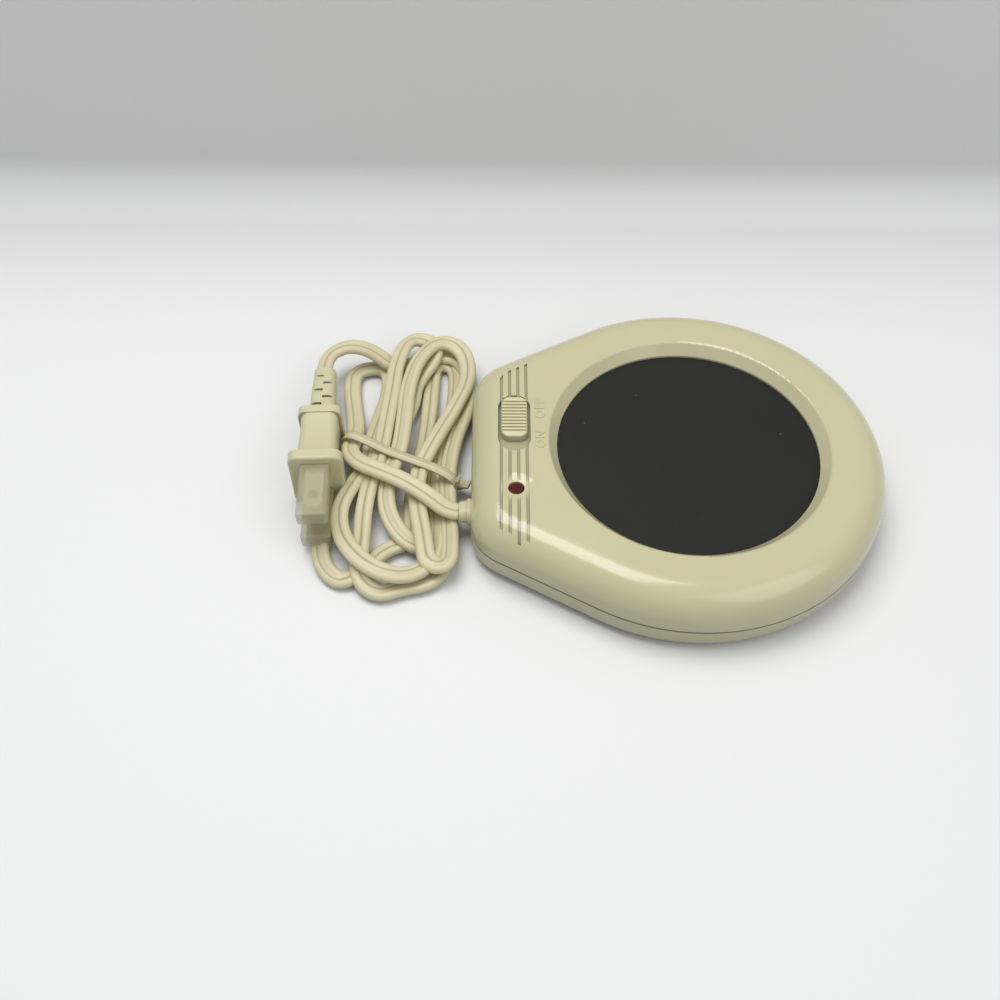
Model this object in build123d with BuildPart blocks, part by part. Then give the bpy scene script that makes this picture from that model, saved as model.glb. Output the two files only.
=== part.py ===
from build123d import *
from math import cos, pi, radians, sin, sqrt, tan
import os

os.makedirs("parts", exist_ok=True)

# Candle warmer plate: a flat electric warmer with a coated plate, a slide switch, a pilot lamp
# and a two-core cord tied in a hank. Millimetres, +Z up. The origin is on the floor under the
# middle of the housing, and +X points from the flat switch end to the round end.

# Housing
body_width = 138.4
nose_length = 6.5
lid_height = 14.0
corner_radius = 17.3
flat_width = 53.6
foot_height = 2.5
tray_height = 7.5
wall = 2.2
crown_land = 3.0
base_edge_radius = 2.0
seam_chamfer = 0.5
tongue_height = 1.4
tongue_gap = 0.1
seat_gap = 0.3
overrun = 5.0

# Round opening over the plate
switch_land = 6.05
bevel_width = 3.2
plate_depth = 4.8
lip_edge = 0.8
rim_round = 1.2
guide_wall = 1.6
guide_height = 2.4

# Recess of the switch and dish of the lamp
switch_inset = 14.95
switch_y = 8.1
recess_width = 11.4
recess_length = 26.0
recess_depth = 2.0
pad_wall = 1.8
lamp_inset = 15.45
lamp_y = -20.9
dish_radius = 6.2
dish_depth = 0.9
lamp_pad = 1.2

# Moulded grooves beside the switch
groove_inset = 14.85
groove_pitch = 2.95
groove_width = 1.1
groove_depth = 0.6
groove_count = 4
groove_far_inset = 9.5
groove_near_inset = 3.0

# Screws and bosses
case_screw_inset = 22.4
case_screw_y = 37.0
case_screw_edge = 10.2
case_screw_angle = 58.0
case_boss_radius = 4.2
case_boss_rise = 1.0
case_head_radius = 2.9
case_head_height = 2.0
case_head_sink = 0.5
case_shank_radius = 1.45
case_screw_length = 14.0
pillar_bore_radius = 1.7
head_clearance = 0.3
thread_clearance = 0.05
pilot_extra = 0.5
shield_screw_gap = 5.7
shield_screw_count = 3
shield_boss_radius = 3.4
shield_head_radius = 2.6
shield_head_height = 1.8
shield_shank_radius = 1.25
shield_screw_length = 5.0

# Base
foot_radius = 5.0
foot_socket_depth = 1.0
foot_edge = 0.6
foot_stem_radius = 2.0
foot_flat_inset = 15.0
foot_flat_y = 28.0
foot_round_edge = 13.2
foot_round_angle = 30.0
vent_width = 3.0
vent_length = 15.0
vent_radius_share = 0.65
vent_count = 12
inner_vent_radius_share = 0.31
inner_vent_length = 8.0
inner_vent_count = 6
rib_inset = 4.8
rib_width = 1.6
rib_height = 1.8

# Heater
plate_overlap = 2.0
plate_sheet = 1.2
plate_edge = 1.0
skirt_height = 3.7
stud_radius = 1.9
stud_length = 7.6
stud_base_radius = 3.5
stud_base_height = 0.5
upper_mica_inset = 4.8
mica_sheet = 0.5
stud_clearance = 0.5
card_inset = 2.0
card_sheet = 0.6
ribbon_inset = 6.5
ribbon_pitch = 6.0
ribbon_end_share = 0.5
ribbon_width = 1.6
ribbon_sheet = 0.3
terminal_gap = 0.8
terminal_drop = 2.9
lower_mica_edge = 2.0
clamp_inset = 0.5
clamp_sheet = 1.2
clamp_bead_inset = 12.0
clamp_bead_width = 3.0
clamp_bead_depth = 0.5
washer_radius = 4.2
washer_sheet = 0.8
nut_flats = 7.0
nut_height = 3.2
shield_sheet = 0.8
shield_depth = 11.0
shield_floor_inset = 7.8
shield_wall_inset = 2.8
shield_rim_edge = 2.2
shield_ear_radius = 4.0
shield_vent_radius = 3.0
shield_vent_inset = 14.0
shield_vent_count = 6
wire_hole_radius = 2.2
wire_hole_angle = 15.0
wire_hole_rise = 3.3
wire_hole_lead = 4.0
fuse_radius = 2.0
fuse_length = 11.0
fuse_inset = 7.95
fuse_step = 0.7
clip_sheet = 0.6
clip_width = 5.0
clip_foot = 2.4

# Switch
knob_width = 9.2
knob_length = 18.9
knob_corner = 3.0
knob_travel = 4.5
knob_end_gap = 1.4
knob_lift = 0.3
knob_proud = 1.0
knob_edge = 0.9
knob_rib_count = 10
knob_rib_pitch = 1.5
knob_rib_width = 0.7
knob_rib_depth = 0.5
stem_width = 3.0
stem_length = 6.6
stem_height = 5.2
stem_side_gap = 0.2
slider_width = 4.4
slider_length = 8.0
slider_height = 2.4
post_width = 1.8
post_length = 3.4
post_height = 4.0
post_gap = 0.1
contact_width = 3.0
contact_length = 7.0
contact_sheet = 0.6
switch_width = 9.0
switch_length = 21.0
switch_height = 6.5
switch_drop = 6.0
frame_sheet = 0.8
frame_reach = 8.0
frame_corner = 2.0
cavity_side_gap = 0.2
cavity_end_gap = 0.4
frame_screw_spacing = 28.4
frame_boss_radius = 2.6
frame_head_radius = 2.3
frame_head_height = 1.4
frame_shank_radius = 1.1
frame_screw_length = 3.2
tab_sheet = 0.6
tab_width = 3.0
tab_clearance = 1.3
tab_spacing = 10.0

# Pilot lamp
lens_radius = 2.7
lens_gap = 0.1
lens_flange_radius = 4.0
lens_flange = 1.0
lens_dome = 0.6
lens_below = 0.9
bulb_radius = 2.2
bulb_length = 9.6
sleeve_wall = 0.9
sleeve_length = 8.6
sleeve_gap = 0.2
lead_radius = 0.4
lead_spread = 0.9
resistor_radius = 1.1
resistor_length = 6.5

# Cord, its entry and its inner leads
cord_diameter = 4.8
cord_y = -21.0
entry_width = 8.2
entry_height = 5.6
entry_gap = 0.1
collar_width = 9.8
collar_height = 7.2
collar_tip_width = 7.4
collar_tip_height = 5.4
collar_length = 4.0
collar_bead = 1.2
inner_flange_width = 11.0
inner_flange_height = 8.4
inner_flange = 1.5
inner_cord_length = 5.1
bar_width = 3.0
bar_length = 19.0
bar_height = 1.6
bar_screw_spacing = 14.0
post_radius = 2.0
saddle_width = 8.0
bar_head_radius = 1.9
bar_head_height = 1.4
bar_shank_radius = 1.1
bar_screw_length = 5.5
wire_radius = 1.0
core_spread = 1.2
crimp_radius = 2.5
crimp_length = 9.0
crimp_waist = 0.5
crimp_band = 3.0
crimp_lift = 0.2
crimp_load_inset = 19.95
crimp_load_y = 22.0
crimp_return_inset = 20.95
crimp_return_y = -27.0
wire_level_share = 0.5625
resistor_inset = 18.05
resistor_y = -11.75
saddle_height = 4.3

# Turns of the inner leads, each measured from the end or the opening that it is near. The radius
# of a bend follows from the shorter of its two runs.
bend_share = 0.45
lead_pull = 3.2
live_turns = [(2.9, 0, 0), (2.5, 6.8, -1.8), (2.7, 15.2, -2.6)]
return_turn = 2.45
return_rise = 3.2
hole_turn = (-2.4, 5.6, -1.7)
hole_turn_return = (-3.8, -7.4, -1.9)
fuse_turn = (-4.4, -5.4, -0.4)
fuse_pull = 5.6
fuse_lead_share = 0.42
lug_pull_share = 0.133
lamp_lead_drop = 2.3
lamp_lead_step = 2.3

# Hank, its lead and its tail. The routes are points chosen by hand along the cord, with x
# measured from the flat end of the housing.
hank_gap = 25.45
hank_y = 5.5
hank_turn = -3.0
hank_end = 35.0
hank_waist = 5.0
hank_pitch = 5.4
hank_inner = 4.1
hank_draw = 2.8
hank_layer = 5.3
hank_lift = 1.6
hank_flat = 0.5
layer_passes = 6
back_passes = 4
exit_inset = 0.9
exit_lift = 4.8
lead_route = [
    (-8.05, -21.0, 10.0), (-13.95, -19.0, 13.3), (-23.05, -14.4, 15.0), (-32.05, -8.6, 14.9),
    (-39.15, -3.2, 13.9), (-42.35, 4.6, 11.6), (-42.65, 13.4, 8.4), (-43.75, 22.4, 3.6),
]
lead_foot = 6.5
tail_route = [(-42.75, 55.2, 10.4), (-51.15, 55.4, 10.6)]
tail_foot = 7.0

# Plug and the covers on its blades
plug_gap = 53.75
plug_y = -9.0
plug_turn = 2.6
front_flange_width = 18.7
front_flange_height = 24.0
front_flange = 4.0
rear_flange_width = 15.4
rear_flange_height = 18.0
rear_flange = 3.2
plug_body_width = 14.4
plug_body_height = 19.6
plug_body_waist_width = 13.2
plug_body_waist_height = 17.4
plug_length = 27.6
plug_corner = 3.0
plug_edge = 1.0
blade_spacing = 12.7
blade_width = 6.35
blade_sheet = 1.5
blade_length = 17.0
blade_root = 6.0
blade_hole_radius = 2.0
blade_hole_reach = 11.9
blade_tip_corner = 1.6
cover_width = 10.4
cover_height = 5.6
cover_length = 22.0
cover_wall = 1.0
cover_gap = 0.15
cover_edge = 0.8
relief_length = 24.4
relief_base_width = 9.8
relief_base_height = 9.0
relief_tip_width = 8.2
relief_tip_height = 7.0
relief_slot_width = 1.3
relief_slot_depth = 1.4
relief_slot_count = 5
relief_slot_pitch = 3.6
relief_slot_start = 4.6
relief_slot_reach_share = 0.55

# Tie round the hank
tie_shift = -1.0
tie_back = -2.5
tie_turn = -24.0
tie_width = 4.0
tie_sheet = 0.8
tie_slack = 0.3
tie_lead_crossings = [(-18.8, 8.5), (-16.6, 10.4)]
tie_spread = 0.2
tie_end_width = 3.2
tie_end_length = 8.0
tie_end_side = 0.9
tie_end_height = 8.4
tie_end_lean = 38.0
tie_flap_lean = 15.0

# Levels and places that follow from the sizes above
body_length = body_width + nose_length
split_height = foot_height + tray_height
body_height = split_height + lid_height
crown_radius = lid_height - crown_land
round_x = nose_length / 2
flat_x = -body_length / 2
corner_x = flat_x + corner_radius
switch_x = flat_x + switch_inset
lamp_x = flat_x + lamp_inset
groove_x = flat_x + groove_inset
rim_radius = round_x - switch_x - recess_width / 2 - switch_land
view_radius = rim_radius - bevel_width
floor_top = foot_height + wall
top_inside = body_height - wall
plate_top = body_height - plate_depth
plate_radius = view_radius + plate_overlap
skirt_low = plate_top - skirt_height
upper_mica_radius = plate_radius - upper_mica_inset
card_radius = upper_mica_radius - card_inset
ribbon_radius = card_radius - ribbon_inset
ribbon_rows = 2 * int(ribbon_radius / ribbon_pitch + ribbon_end_share)
lug_pull = ribbon_radius * lug_pull_share
lower_mica_radius = ribbon_radius + lower_mica_edge
clamp_radius = ribbon_radius - clamp_inset
clamp_bead_radius = clamp_radius - clamp_bead_inset
rib_radius = plate_radius - rib_inset
vent_radius = plate_radius * vent_radius_share
inner_vent_radius = plate_radius * inner_vent_radius_share
shield_floor = plate_top - shield_depth
shield_floor_radius = plate_radius - shield_floor_inset
shield_wall_radius = plate_radius - shield_wall_inset
shield_rim_radius = plate_radius + shield_rim_edge
shield_vent_ring = shield_floor_radius - shield_vent_inset
shield_screw_radius = plate_radius + shield_screw_gap
wire_hole_height = shield_floor + wire_hole_rise
case_screw_radius = body_width / 2 - case_screw_edge
case_boss_low = split_height + case_boss_rise
foot_round_radius = body_width / 2 - foot_round_edge
recess_floor = body_height - recess_depth
pad_low = recess_floor - pad_wall
dish_floor = body_height - dish_depth
lamp_pad_low = dish_floor - wall / 2 - lamp_pad / 2
knob_y = switch_y + recess_length / 2 - knob_end_gap - knob_length / 2
track_y = knob_y - knob_travel / 2
case_low = foot_height + case_head_sink + case_head_height
switch_top = recess_floor - switch_drop
switch_low = switch_top - switch_height
tab_length = switch_low - floor_top - tab_clearance
wire_level = floor_top + wire_level_share * (switch_low - floor_top)
standing = (Align.CENTER, Align.CENTER, Align.MIN)
hanging = (Align.CENTER, Align.CENTER, Align.MAX)


def body_outline(inset):
    """Plan outline, moved in by inset: the round body drawn into the two corners of its flat end"""
    with Locations((round_x, 0)):
        Circle(body_width / 2 - inset)
    with Locations((corner_x, flat_width / 2), (corner_x, -flat_width / 2)):
        Circle(corner_radius - inset)
    make_hull()


def domed_block(inset, low, high, crown):
    """Block with the plan outline, its upper edge rounded by crown"""
    with BuildPart() as block:
        with BuildSketch(Plane.XY.offset(low)):
            body_outline(inset)
        extrude(amount=high - low)
        fillet(block.edges().group_by(Axis.Z)[-1], radius=crown)
    return block.part


def ring_points(radius, start, count):
    """Points on a circle about the plate's centre, from the angle start in degrees"""
    turns = [radians(start + 360 * index / count) for index in range(count)]
    return [(round_x + radius * cos(turn), radius * sin(turn)) for turn in turns]


def both_sides(radius, angle):
    """The two mirrored points at this radius and angle about the plate's centre"""
    x = round_x + radius * cos(radians(angle))
    y = radius * sin(radians(angle))
    return [(x, y), (x, -y)]


def bend_radii(points):
    """Radius at each corner of a route, a share of its shorter run over the tangent of half the turn"""
    radii = []
    for before, corner, after in zip(points, points[1:], points[2:]):
        first = Vector(*corner) - Vector(*before)
        second = Vector(*after) - Vector(*corner)
        half_turn = radians(first.get_angle(second)) / 2
        radii.append(bend_share * min(first.length, second.length) / tan(half_turn))
    return radii


def tube(points, radius):
    """Round tube along straight runs joined by tangent arcs"""
    with BuildPart() as piece:
        with BuildLine() as route:
            FilletPolyline(*points, radius=bend_radii(points))
        with BuildSketch(Plane(origin=route.wires()[0] @ 0, z_dir=route.wires()[0] % 0)):
            Circle(radius)
        sweep(path=route.wires()[0])
    return piece.part


case_screw_places = both_sides(case_screw_radius, case_screw_angle) + [
    (flat_x + case_screw_inset, case_screw_y),
    (flat_x + case_screw_inset, -case_screw_y),
]
shield_screw_places = ring_points(shield_screw_radius, 0, shield_screw_count)
frame_screw_places = [
    (switch_x, track_y + frame_screw_spacing / 2),
    (switch_x, track_y - frame_screw_spacing / 2),
]

# Top shell: a moulded cover with a wide round crown, a bevelled opening over the plate, a sunk
# racetrack for the switch, a shallow dish for the lamp and short grooves running between them
top_cavity = domed_block(wall, split_height, top_inside, crown_radius - wall)
groove_core = domed_block(
    groove_depth, split_height, body_height - groove_depth, crown_radius - groove_depth
)
with BuildSketch(Plane.XY.offset(top_inside)) as far_limit:
    body_outline(groove_far_inset)
    with Locations((round_x, -body_width / 2)):
        Rectangle(body_length * 2, body_width, mode=Mode.SUBTRACT)
with BuildSketch(Plane.XY.offset(top_inside)) as near_limit:
    body_outline(groove_near_inset)
    with Locations((round_x, body_width / 2)):
        Rectangle(body_length * 2, body_width, mode=Mode.SUBTRACT)
with BuildPart() as groove_cutter:
    with BuildSketch(Plane.XY.offset(top_inside)):
        with Locations((groove_x, 0)):
            with GridLocations(groove_pitch, 0, groove_count, 1):
                Rectangle(groove_width, body_width)
        add([far_limit.sketch, near_limit.sketch], mode=Mode.INTERSECT)
    extrude(amount=wall + overrun)
    extrude(groove_cutter.faces().sort_by(Axis.Z)[0:1], amount=crown_radius / 2)
    add(groove_core, mode=Mode.SUBTRACT)

with BuildPart() as top_shell:
    add(domed_block(0, split_height, body_height, crown_radius))
    chamfer(top_shell.edges().group_by(Axis.Z)[0], length=seam_chamfer)
    add(top_cavity, mode=Mode.SUBTRACT)
    with BuildSketch(Plane.XY.offset(split_height)):
        body_outline(wall / 2)
    extrude(amount=tongue_height + tongue_gap, mode=Mode.SUBTRACT)
    # collar that carries the bevel and centres the plate
    with BuildSketch(Plane.XZ.shift_origin((round_x, 0, 0))):
        with BuildLine():
            Polyline(
                (view_radius, plate_top),
                (view_radius, body_height),
                (rim_radius + wall, body_height),
                (rim_radius + wall, top_inside - lip_edge),
                (plate_radius + seat_gap + guide_wall, plate_top),
                (plate_radius + seat_gap + guide_wall, plate_top - guide_height),
                (plate_radius + seat_gap, plate_top - guide_height),
                (plate_radius + seat_gap, plate_top),
                close=True,
            )
        make_face()
    revolve(axis=Axis((round_x, 0, 0), (0, 0, 1)))
    with BuildSketch(Plane.XZ.shift_origin((round_x, 0, 0))):
        with BuildLine():
            Polyline(
                (0, plate_top),
                (view_radius, plate_top),
                (view_radius, plate_top + lip_edge),
                (rim_radius, body_height),
                (rim_radius, body_height + overrun),
                (0, body_height + overrun),
                close=True,
            )
        make_face()
    revolve(axis=Axis((round_x, 0, 0), (0, 0, 1)), mode=Mode.SUBTRACT)
    # pads under the switch recess and the lamp
    with BuildSketch(Plane.XY.offset(pad_low)):
        with Locations((switch_x, switch_y)):
            SlotOverall(recess_length + wall, recess_width + wall, rotation=90)
    extrude(amount=recess_floor - pad_low)
    with BuildSketch(Plane.XY.offset(lamp_pad_low)):
        with Locations((lamp_x, lamp_y)):
            Circle(dish_radius)
    extrude(amount=dish_floor - lamp_pad_low)
    # bosses for the case, the heat shield and the switch
    with Locations(*[Vector(x, y, case_boss_low) for x, y in case_screw_places]):
        Cylinder(case_boss_radius, top_inside - case_boss_low, align=standing)
    with Locations(*[Vector(x, y, skirt_low) for x, y in shield_screw_places]):
        Cylinder(shield_boss_radius, top_inside - skirt_low, align=standing)
    with Locations(*[Vector(x, y, switch_top + frame_sheet) for x, y in frame_screw_places]):
        Cylinder(frame_boss_radius, top_inside - switch_top - frame_sheet, align=standing)
    add(groove_cutter.part, mode=Mode.SUBTRACT)
    with BuildSketch(Plane.XY.offset(recess_floor)):
        with Locations((switch_x, switch_y)):
            SlotOverall(recess_length, recess_width, rotation=90)
    extrude(amount=recess_depth + overrun, mode=Mode.SUBTRACT)
    dish_sphere = (dish_radius**2 + dish_depth**2) / (2 * dish_depth)
    with Locations((lamp_x, lamp_y, dish_floor + dish_sphere)):
        Sphere(dish_sphere, mode=Mode.SUBTRACT)
    # slot for the knob's stem, hole for the lens, pilot holes and the cord's half of its entry
    with BuildSketch(Plane.XY.offset(recess_floor)):
        with Locations((switch_x, track_y)):
            Rectangle(stem_width + 2 * stem_side_gap, stem_length + knob_travel + 2 * stem_side_gap)
    extrude(amount=-pad_wall - overrun, mode=Mode.SUBTRACT)
    with Locations((lamp_x, lamp_y, body_height)):
        Hole(lens_radius + lens_gap, depth=wall + lamp_pad + overrun)
    with Locations(*[Vector(x, y, case_boss_low) for x, y in case_screw_places]):
        Cylinder(
            case_shank_radius + thread_clearance,
            case_low + case_screw_length + pilot_extra - case_boss_low,
            align=standing,
            mode=Mode.SUBTRACT,
        )
    with Locations(*[Vector(x, y, skirt_low) for x, y in shield_screw_places]):
        Cylinder(
            shield_shank_radius + thread_clearance,
            shield_screw_length - shield_sheet + pilot_extra,
            align=standing,
            mode=Mode.SUBTRACT,
        )
    with Locations(*[Vector(x, y, switch_top + frame_sheet) for x, y in frame_screw_places]):
        Cylinder(
            frame_shank_radius + thread_clearance,
            frame_screw_length - frame_sheet + pilot_extra,
            align=standing,
            mode=Mode.SUBTRACT,
        )
    with BuildSketch(Plane.YZ.offset(flat_x)):
        with Locations((cord_y, split_height)):
            SlotOverall(entry_width + 2 * entry_gap, entry_height + 2 * entry_gap)
    extrude(amount=wall + overrun / 2, both=True, mode=Mode.SUBTRACT)
    rim_edges = top_shell.edges().filter_by(GeomType.CIRCLE).group_by(Axis.Z)[-1]
    fillet([edge for edge in rim_edges if abs(edge.radius - rim_radius) < rim_round], radius=rim_round)
top_shell.part.label = "top_shell"
export_step(top_shell.part, "parts/top_shell.step")

# Bottom shell: a tray with a tongue that locks into the cover, screw pillars, vents under the
# plate, sockets for the feet, the cord's half of its entry and a saddle with posts for its bar
foot_places = both_sides(foot_round_radius, foot_round_angle) + [
    (flat_x + foot_flat_inset, foot_flat_y),
    (flat_x + foot_flat_inset, -foot_flat_y),
]
bar_x = flat_x + wall + inner_flange + seat_gap + post_radius
bar_low = split_height + cord_diameter / 2
bar_screw_places = [
    (bar_x, cord_y + bar_screw_spacing / 2),
    (bar_x, cord_y - bar_screw_spacing / 2),
]
with BuildPart() as bottom_shell:
    with BuildSketch(Plane.XY.offset(foot_height)):
        body_outline(0)
    extrude(amount=split_height - foot_height)
    fillet(bottom_shell.edges().group_by(Axis.Z)[0], radius=base_edge_radius)
    chamfer(bottom_shell.edges().group_by(Axis.Z)[-1], length=seam_chamfer)
    with BuildSketch(Plane.XY.offset(split_height)):
        body_outline(wall / 2 + tongue_gap)
    extrude(amount=tongue_height)
    with BuildSketch(Plane.XY.offset(floor_top)):
        body_outline(wall)
    extrude(amount=split_height - floor_top + overrun, mode=Mode.SUBTRACT)
    with Locations(*[Vector(x, y, floor_top) for x, y in case_screw_places]):
        Cylinder(case_boss_radius, case_boss_low - floor_top, align=standing)
    with Locations(*[Vector(x, y, floor_top) for x, y in bar_screw_places]):
        Cylinder(post_radius, bar_low - floor_top, align=standing)
    with Locations((bar_x, cord_y, floor_top)):
        Box(bar_width, saddle_width, saddle_height, align=standing)
    with BuildSketch(Plane.XY.offset(floor_top)):
        with Locations((round_x, 0)):
            Circle(rib_radius + rib_width / 2)
            Circle(rib_radius - rib_width / 2, mode=Mode.SUBTRACT)
    extrude(amount=rib_height)
    with BuildSketch(Plane.XY.offset(foot_height)):
        with Locations((round_x, 0)):
            with PolarLocations(vent_radius, vent_count):
                SlotOverall(vent_length, vent_width)
            with PolarLocations(inner_vent_radius, inner_vent_count):
                SlotOverall(inner_vent_length, vent_width)
    extrude(amount=wall + rib_height, mode=Mode.SUBTRACT)
    with Locations(*[Vector(x, y, foot_height) for x, y in foot_places]):
        Cylinder(
            foot_radius + entry_gap,
            foot_socket_depth,
            align=standing,
            mode=Mode.SUBTRACT,
        )
        Cylinder(
            foot_stem_radius + entry_gap,
            wall + rib_height,
            align=standing,
            mode=Mode.SUBTRACT,
        )
    with Locations(*[Vector(x, y, foot_height) for x, y in case_screw_places]):
        Cylinder(
            case_head_radius + head_clearance,
            case_head_sink + case_head_height,
            align=standing,
            mode=Mode.SUBTRACT,
        )
        Cylinder(
            pillar_bore_radius,
            case_boss_low - foot_height,
            align=standing,
            mode=Mode.SUBTRACT,
        )
    with Locations(*[Vector(x, y, bar_low) for x, y in bar_screw_places]):
        Cylinder(
            bar_shank_radius + thread_clearance,
            bar_screw_length - bar_height + pilot_extra,
            align=hanging,
            mode=Mode.SUBTRACT,
        )
    with BuildSketch(Plane.YZ.offset(flat_x)):
        with Locations((cord_y, split_height)):
            SlotOverall(entry_width + 2 * entry_gap, entry_height + 2 * entry_gap)
    extrude(amount=wall + overrun / 2, both=True, mode=Mode.SUBTRACT)
    with Locations((bar_x, cord_y, split_height)):
        Cylinder(cord_diameter / 2, bar_width + overrun, rotation=(0, 90, 0), mode=Mode.SUBTRACT)
bottom_shell.part.label = "bottom_shell"
export_step(bottom_shell.part, "parts/bottom_shell.step")

# Rubber feet: a pad with a stem pressed into its socket
for number, (x, y) in enumerate(foot_places, start=1):
    with BuildPart() as foot:
        with Locations((x, y, 0)):
            Cylinder(foot_radius, foot_height + foot_socket_depth, align=standing)
        fillet(foot.edges().group_by(Axis.Z)[0], radius=foot_edge)
        with Locations((x, y, foot_height + foot_socket_depth)):
            Cylinder(foot_stem_radius, wall - foot_socket_depth, align=standing)
    foot.part.label = f"foot_{number}"
    export_step(foot.part, f"parts/foot_{number}.step")


def screws(places, head_side, head_radius, head_height, shank_radius, length, point_up):
    """Screws at these places: heads outward from head_side, shanks the other way"""
    outward = Align.MAX if point_up else Align.MIN
    inward = Align.MIN if point_up else Align.MAX
    with BuildPart() as group:
        with Locations(*[Vector(x, y, head_side) for x, y in places]):
            Cylinder(head_radius, head_height, align=(Align.CENTER, Align.CENTER, outward))
            Cylinder(shank_radius, length, align=(Align.CENTER, Align.CENTER, inward))
    return group.part


case_screws = screws(
    case_screw_places, case_low, case_head_radius, case_head_height,
    case_shank_radius, case_screw_length, True,
)
case_screws.label = "case_screws"
export_step(case_screws, "parts/case_screws.step")

# Heater plate: a coated metal disc with a turned-down skirt, hung under the cover's lip
with BuildPart() as heater_plate:
    with Locations((round_x, 0, plate_top)):
        Cylinder(plate_radius, skirt_height, align=hanging)
    fillet(heater_plate.edges().group_by(Axis.Z)[-1], radius=plate_edge)
    with Locations((round_x, 0, plate_top - plate_sheet)):
        Cylinder(
            plate_radius - plate_sheet,
            skirt_height,
            align=hanging,
            mode=Mode.SUBTRACT,
        )
heater_plate.part.label = "heater_plate"
export_step(heater_plate.part, "parts/heater_plate.step")

# Stud welded under the plate
plate_low = plate_top - plate_sheet
with BuildPart() as plate_stud:
    with Locations((round_x, 0, plate_low)):
        Cylinder(stud_base_radius, stud_base_height, align=hanging)
        Cylinder(stud_radius, stud_length, align=hanging)
    chamfer(plate_stud.edges().group_by(Axis.Z)[0], length=stud_base_height)
plate_stud.part.label = "plate_stud"
export_step(plate_stud.part, "parts/plate_stud.step")


def sheet_disc(radius, hole_radius, top, thickness):
    """Flat disc about the plate's centre, hanging down from top"""
    with BuildPart() as disc:
        with BuildSketch(Plane.XY.offset(top - thickness)):
            with Locations((round_x, 0)):
                Circle(radius)
                Circle(hole_radius, mode=Mode.SUBTRACT)
        extrude(amount=thickness)
    return disc.part


# Mica sheets, the element's card between them and its ribbon
upper_mica = sheet_disc(upper_mica_radius, stud_base_radius + stud_clearance, plate_low, mica_sheet)
upper_mica.label = "upper_mica"
export_step(upper_mica, "parts/upper_mica.step")

card_top = plate_low - mica_sheet
element_card = sheet_disc(card_radius, stud_radius + stud_clearance, card_top, card_sheet)
element_card.label = "element_card"
export_step(element_card, "parts/element_card.step")

ribbon_top = card_top - card_sheet
row_places = [(index - (ribbon_rows - 1) / 2) * ribbon_pitch for index in range(ribbon_rows)]
row_reaches = [sqrt(ribbon_radius**2 - row**2) for row in row_places]
terminal_radius = lower_mica_radius + terminal_gap
terminal_run = sqrt(terminal_radius**2 - (row_places[-1] - ribbon_width / 2) ** 2) + ribbon_sheet
terminal_x = round_x - terminal_run
with BuildPart() as element_ribbon:
    with BuildSketch(Plane.XY.offset(ribbon_top - ribbon_sheet)):
        for row, reach in zip(row_places, row_reaches):
            with Locations((round_x, row)):
                Rectangle(2 * reach, ribbon_width)
        # each turn joins a row to the next at alternate ends
        for index in range(ribbon_rows - 1):
            side = 1 if index % 2 == 0 else -1
            reach = max(row_reaches[index], row_reaches[index + 1])
            turn_x = round_x + side * (reach - ribbon_width / 2)
            with Locations((turn_x, row_places[index] + ribbon_pitch / 2)):
                Rectangle(ribbon_width, ribbon_pitch + ribbon_width)
            for row in (row_places[index], row_places[index + 1]):
                with Locations((round_x + side * reach / 2, row)):
                    Rectangle(reach, ribbon_width)
        for row in (row_places[0], row_places[-1]):
            with Locations((terminal_x, row)):
                Rectangle(
                    terminal_run - row_reaches[0] + ribbon_width,
                    ribbon_width,
                    align=(Align.MIN, Align.CENTER),
                )
    extrude(amount=ribbon_sheet)
    for row in (row_places[0], row_places[-1]):
        with Locations((terminal_x, row, ribbon_top)):
            Box(
                ribbon_sheet,
                ribbon_width,
                ribbon_sheet + terminal_drop,
                align=(Align.MIN, Align.CENTER, Align.MAX),
            )
element_ribbon.part.label = "element_ribbon"
export_step(element_ribbon.part, "parts/element_ribbon.step")

lower_mica_top = ribbon_top - ribbon_sheet
lower_mica = sheet_disc(lower_mica_radius, stud_radius + stud_clearance, lower_mica_top, mica_sheet)
lower_mica.label = "lower_mica"
export_step(lower_mica, "parts/lower_mica.step")

# Clamp plate, washer and nut that press the stack to the plate
clamp_top = lower_mica_top - mica_sheet
clamp_low = clamp_top - clamp_sheet
with BuildPart() as clamp_plate:
    add(sheet_disc(clamp_radius, stud_radius + stud_clearance, clamp_top, clamp_sheet))
    with BuildSketch(Plane.XY.offset(clamp_low)):
        with Locations((round_x, 0)):
            Circle(clamp_bead_radius + clamp_bead_width / 2)
            Circle(clamp_bead_radius - clamp_bead_width / 2, mode=Mode.SUBTRACT)
    extrude(amount=clamp_bead_depth, mode=Mode.SUBTRACT)
clamp_plate.part.label = "clamp_plate"
export_step(clamp_plate.part, "parts/clamp_plate.step")

spring_washer = sheet_disc(washer_radius, stud_radius + thread_clearance, clamp_low, washer_sheet)
spring_washer.label = "spring_washer"
export_step(spring_washer, "parts/spring_washer.step")

nut_top = clamp_low - washer_sheet
with BuildPart() as clamp_nut:
    with BuildSketch(Plane.XY.offset(nut_top - nut_height)):
        with Locations((round_x, 0)):
            RegularPolygon(nut_flats / 2, 6, major_radius=False)
            Circle(stud_radius + thread_clearance, mode=Mode.SUBTRACT)
    extrude(amount=nut_height)
clamp_nut.part.label = "clamp_nut"
export_step(clamp_nut.part, "parts/clamp_nut.step")

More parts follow.
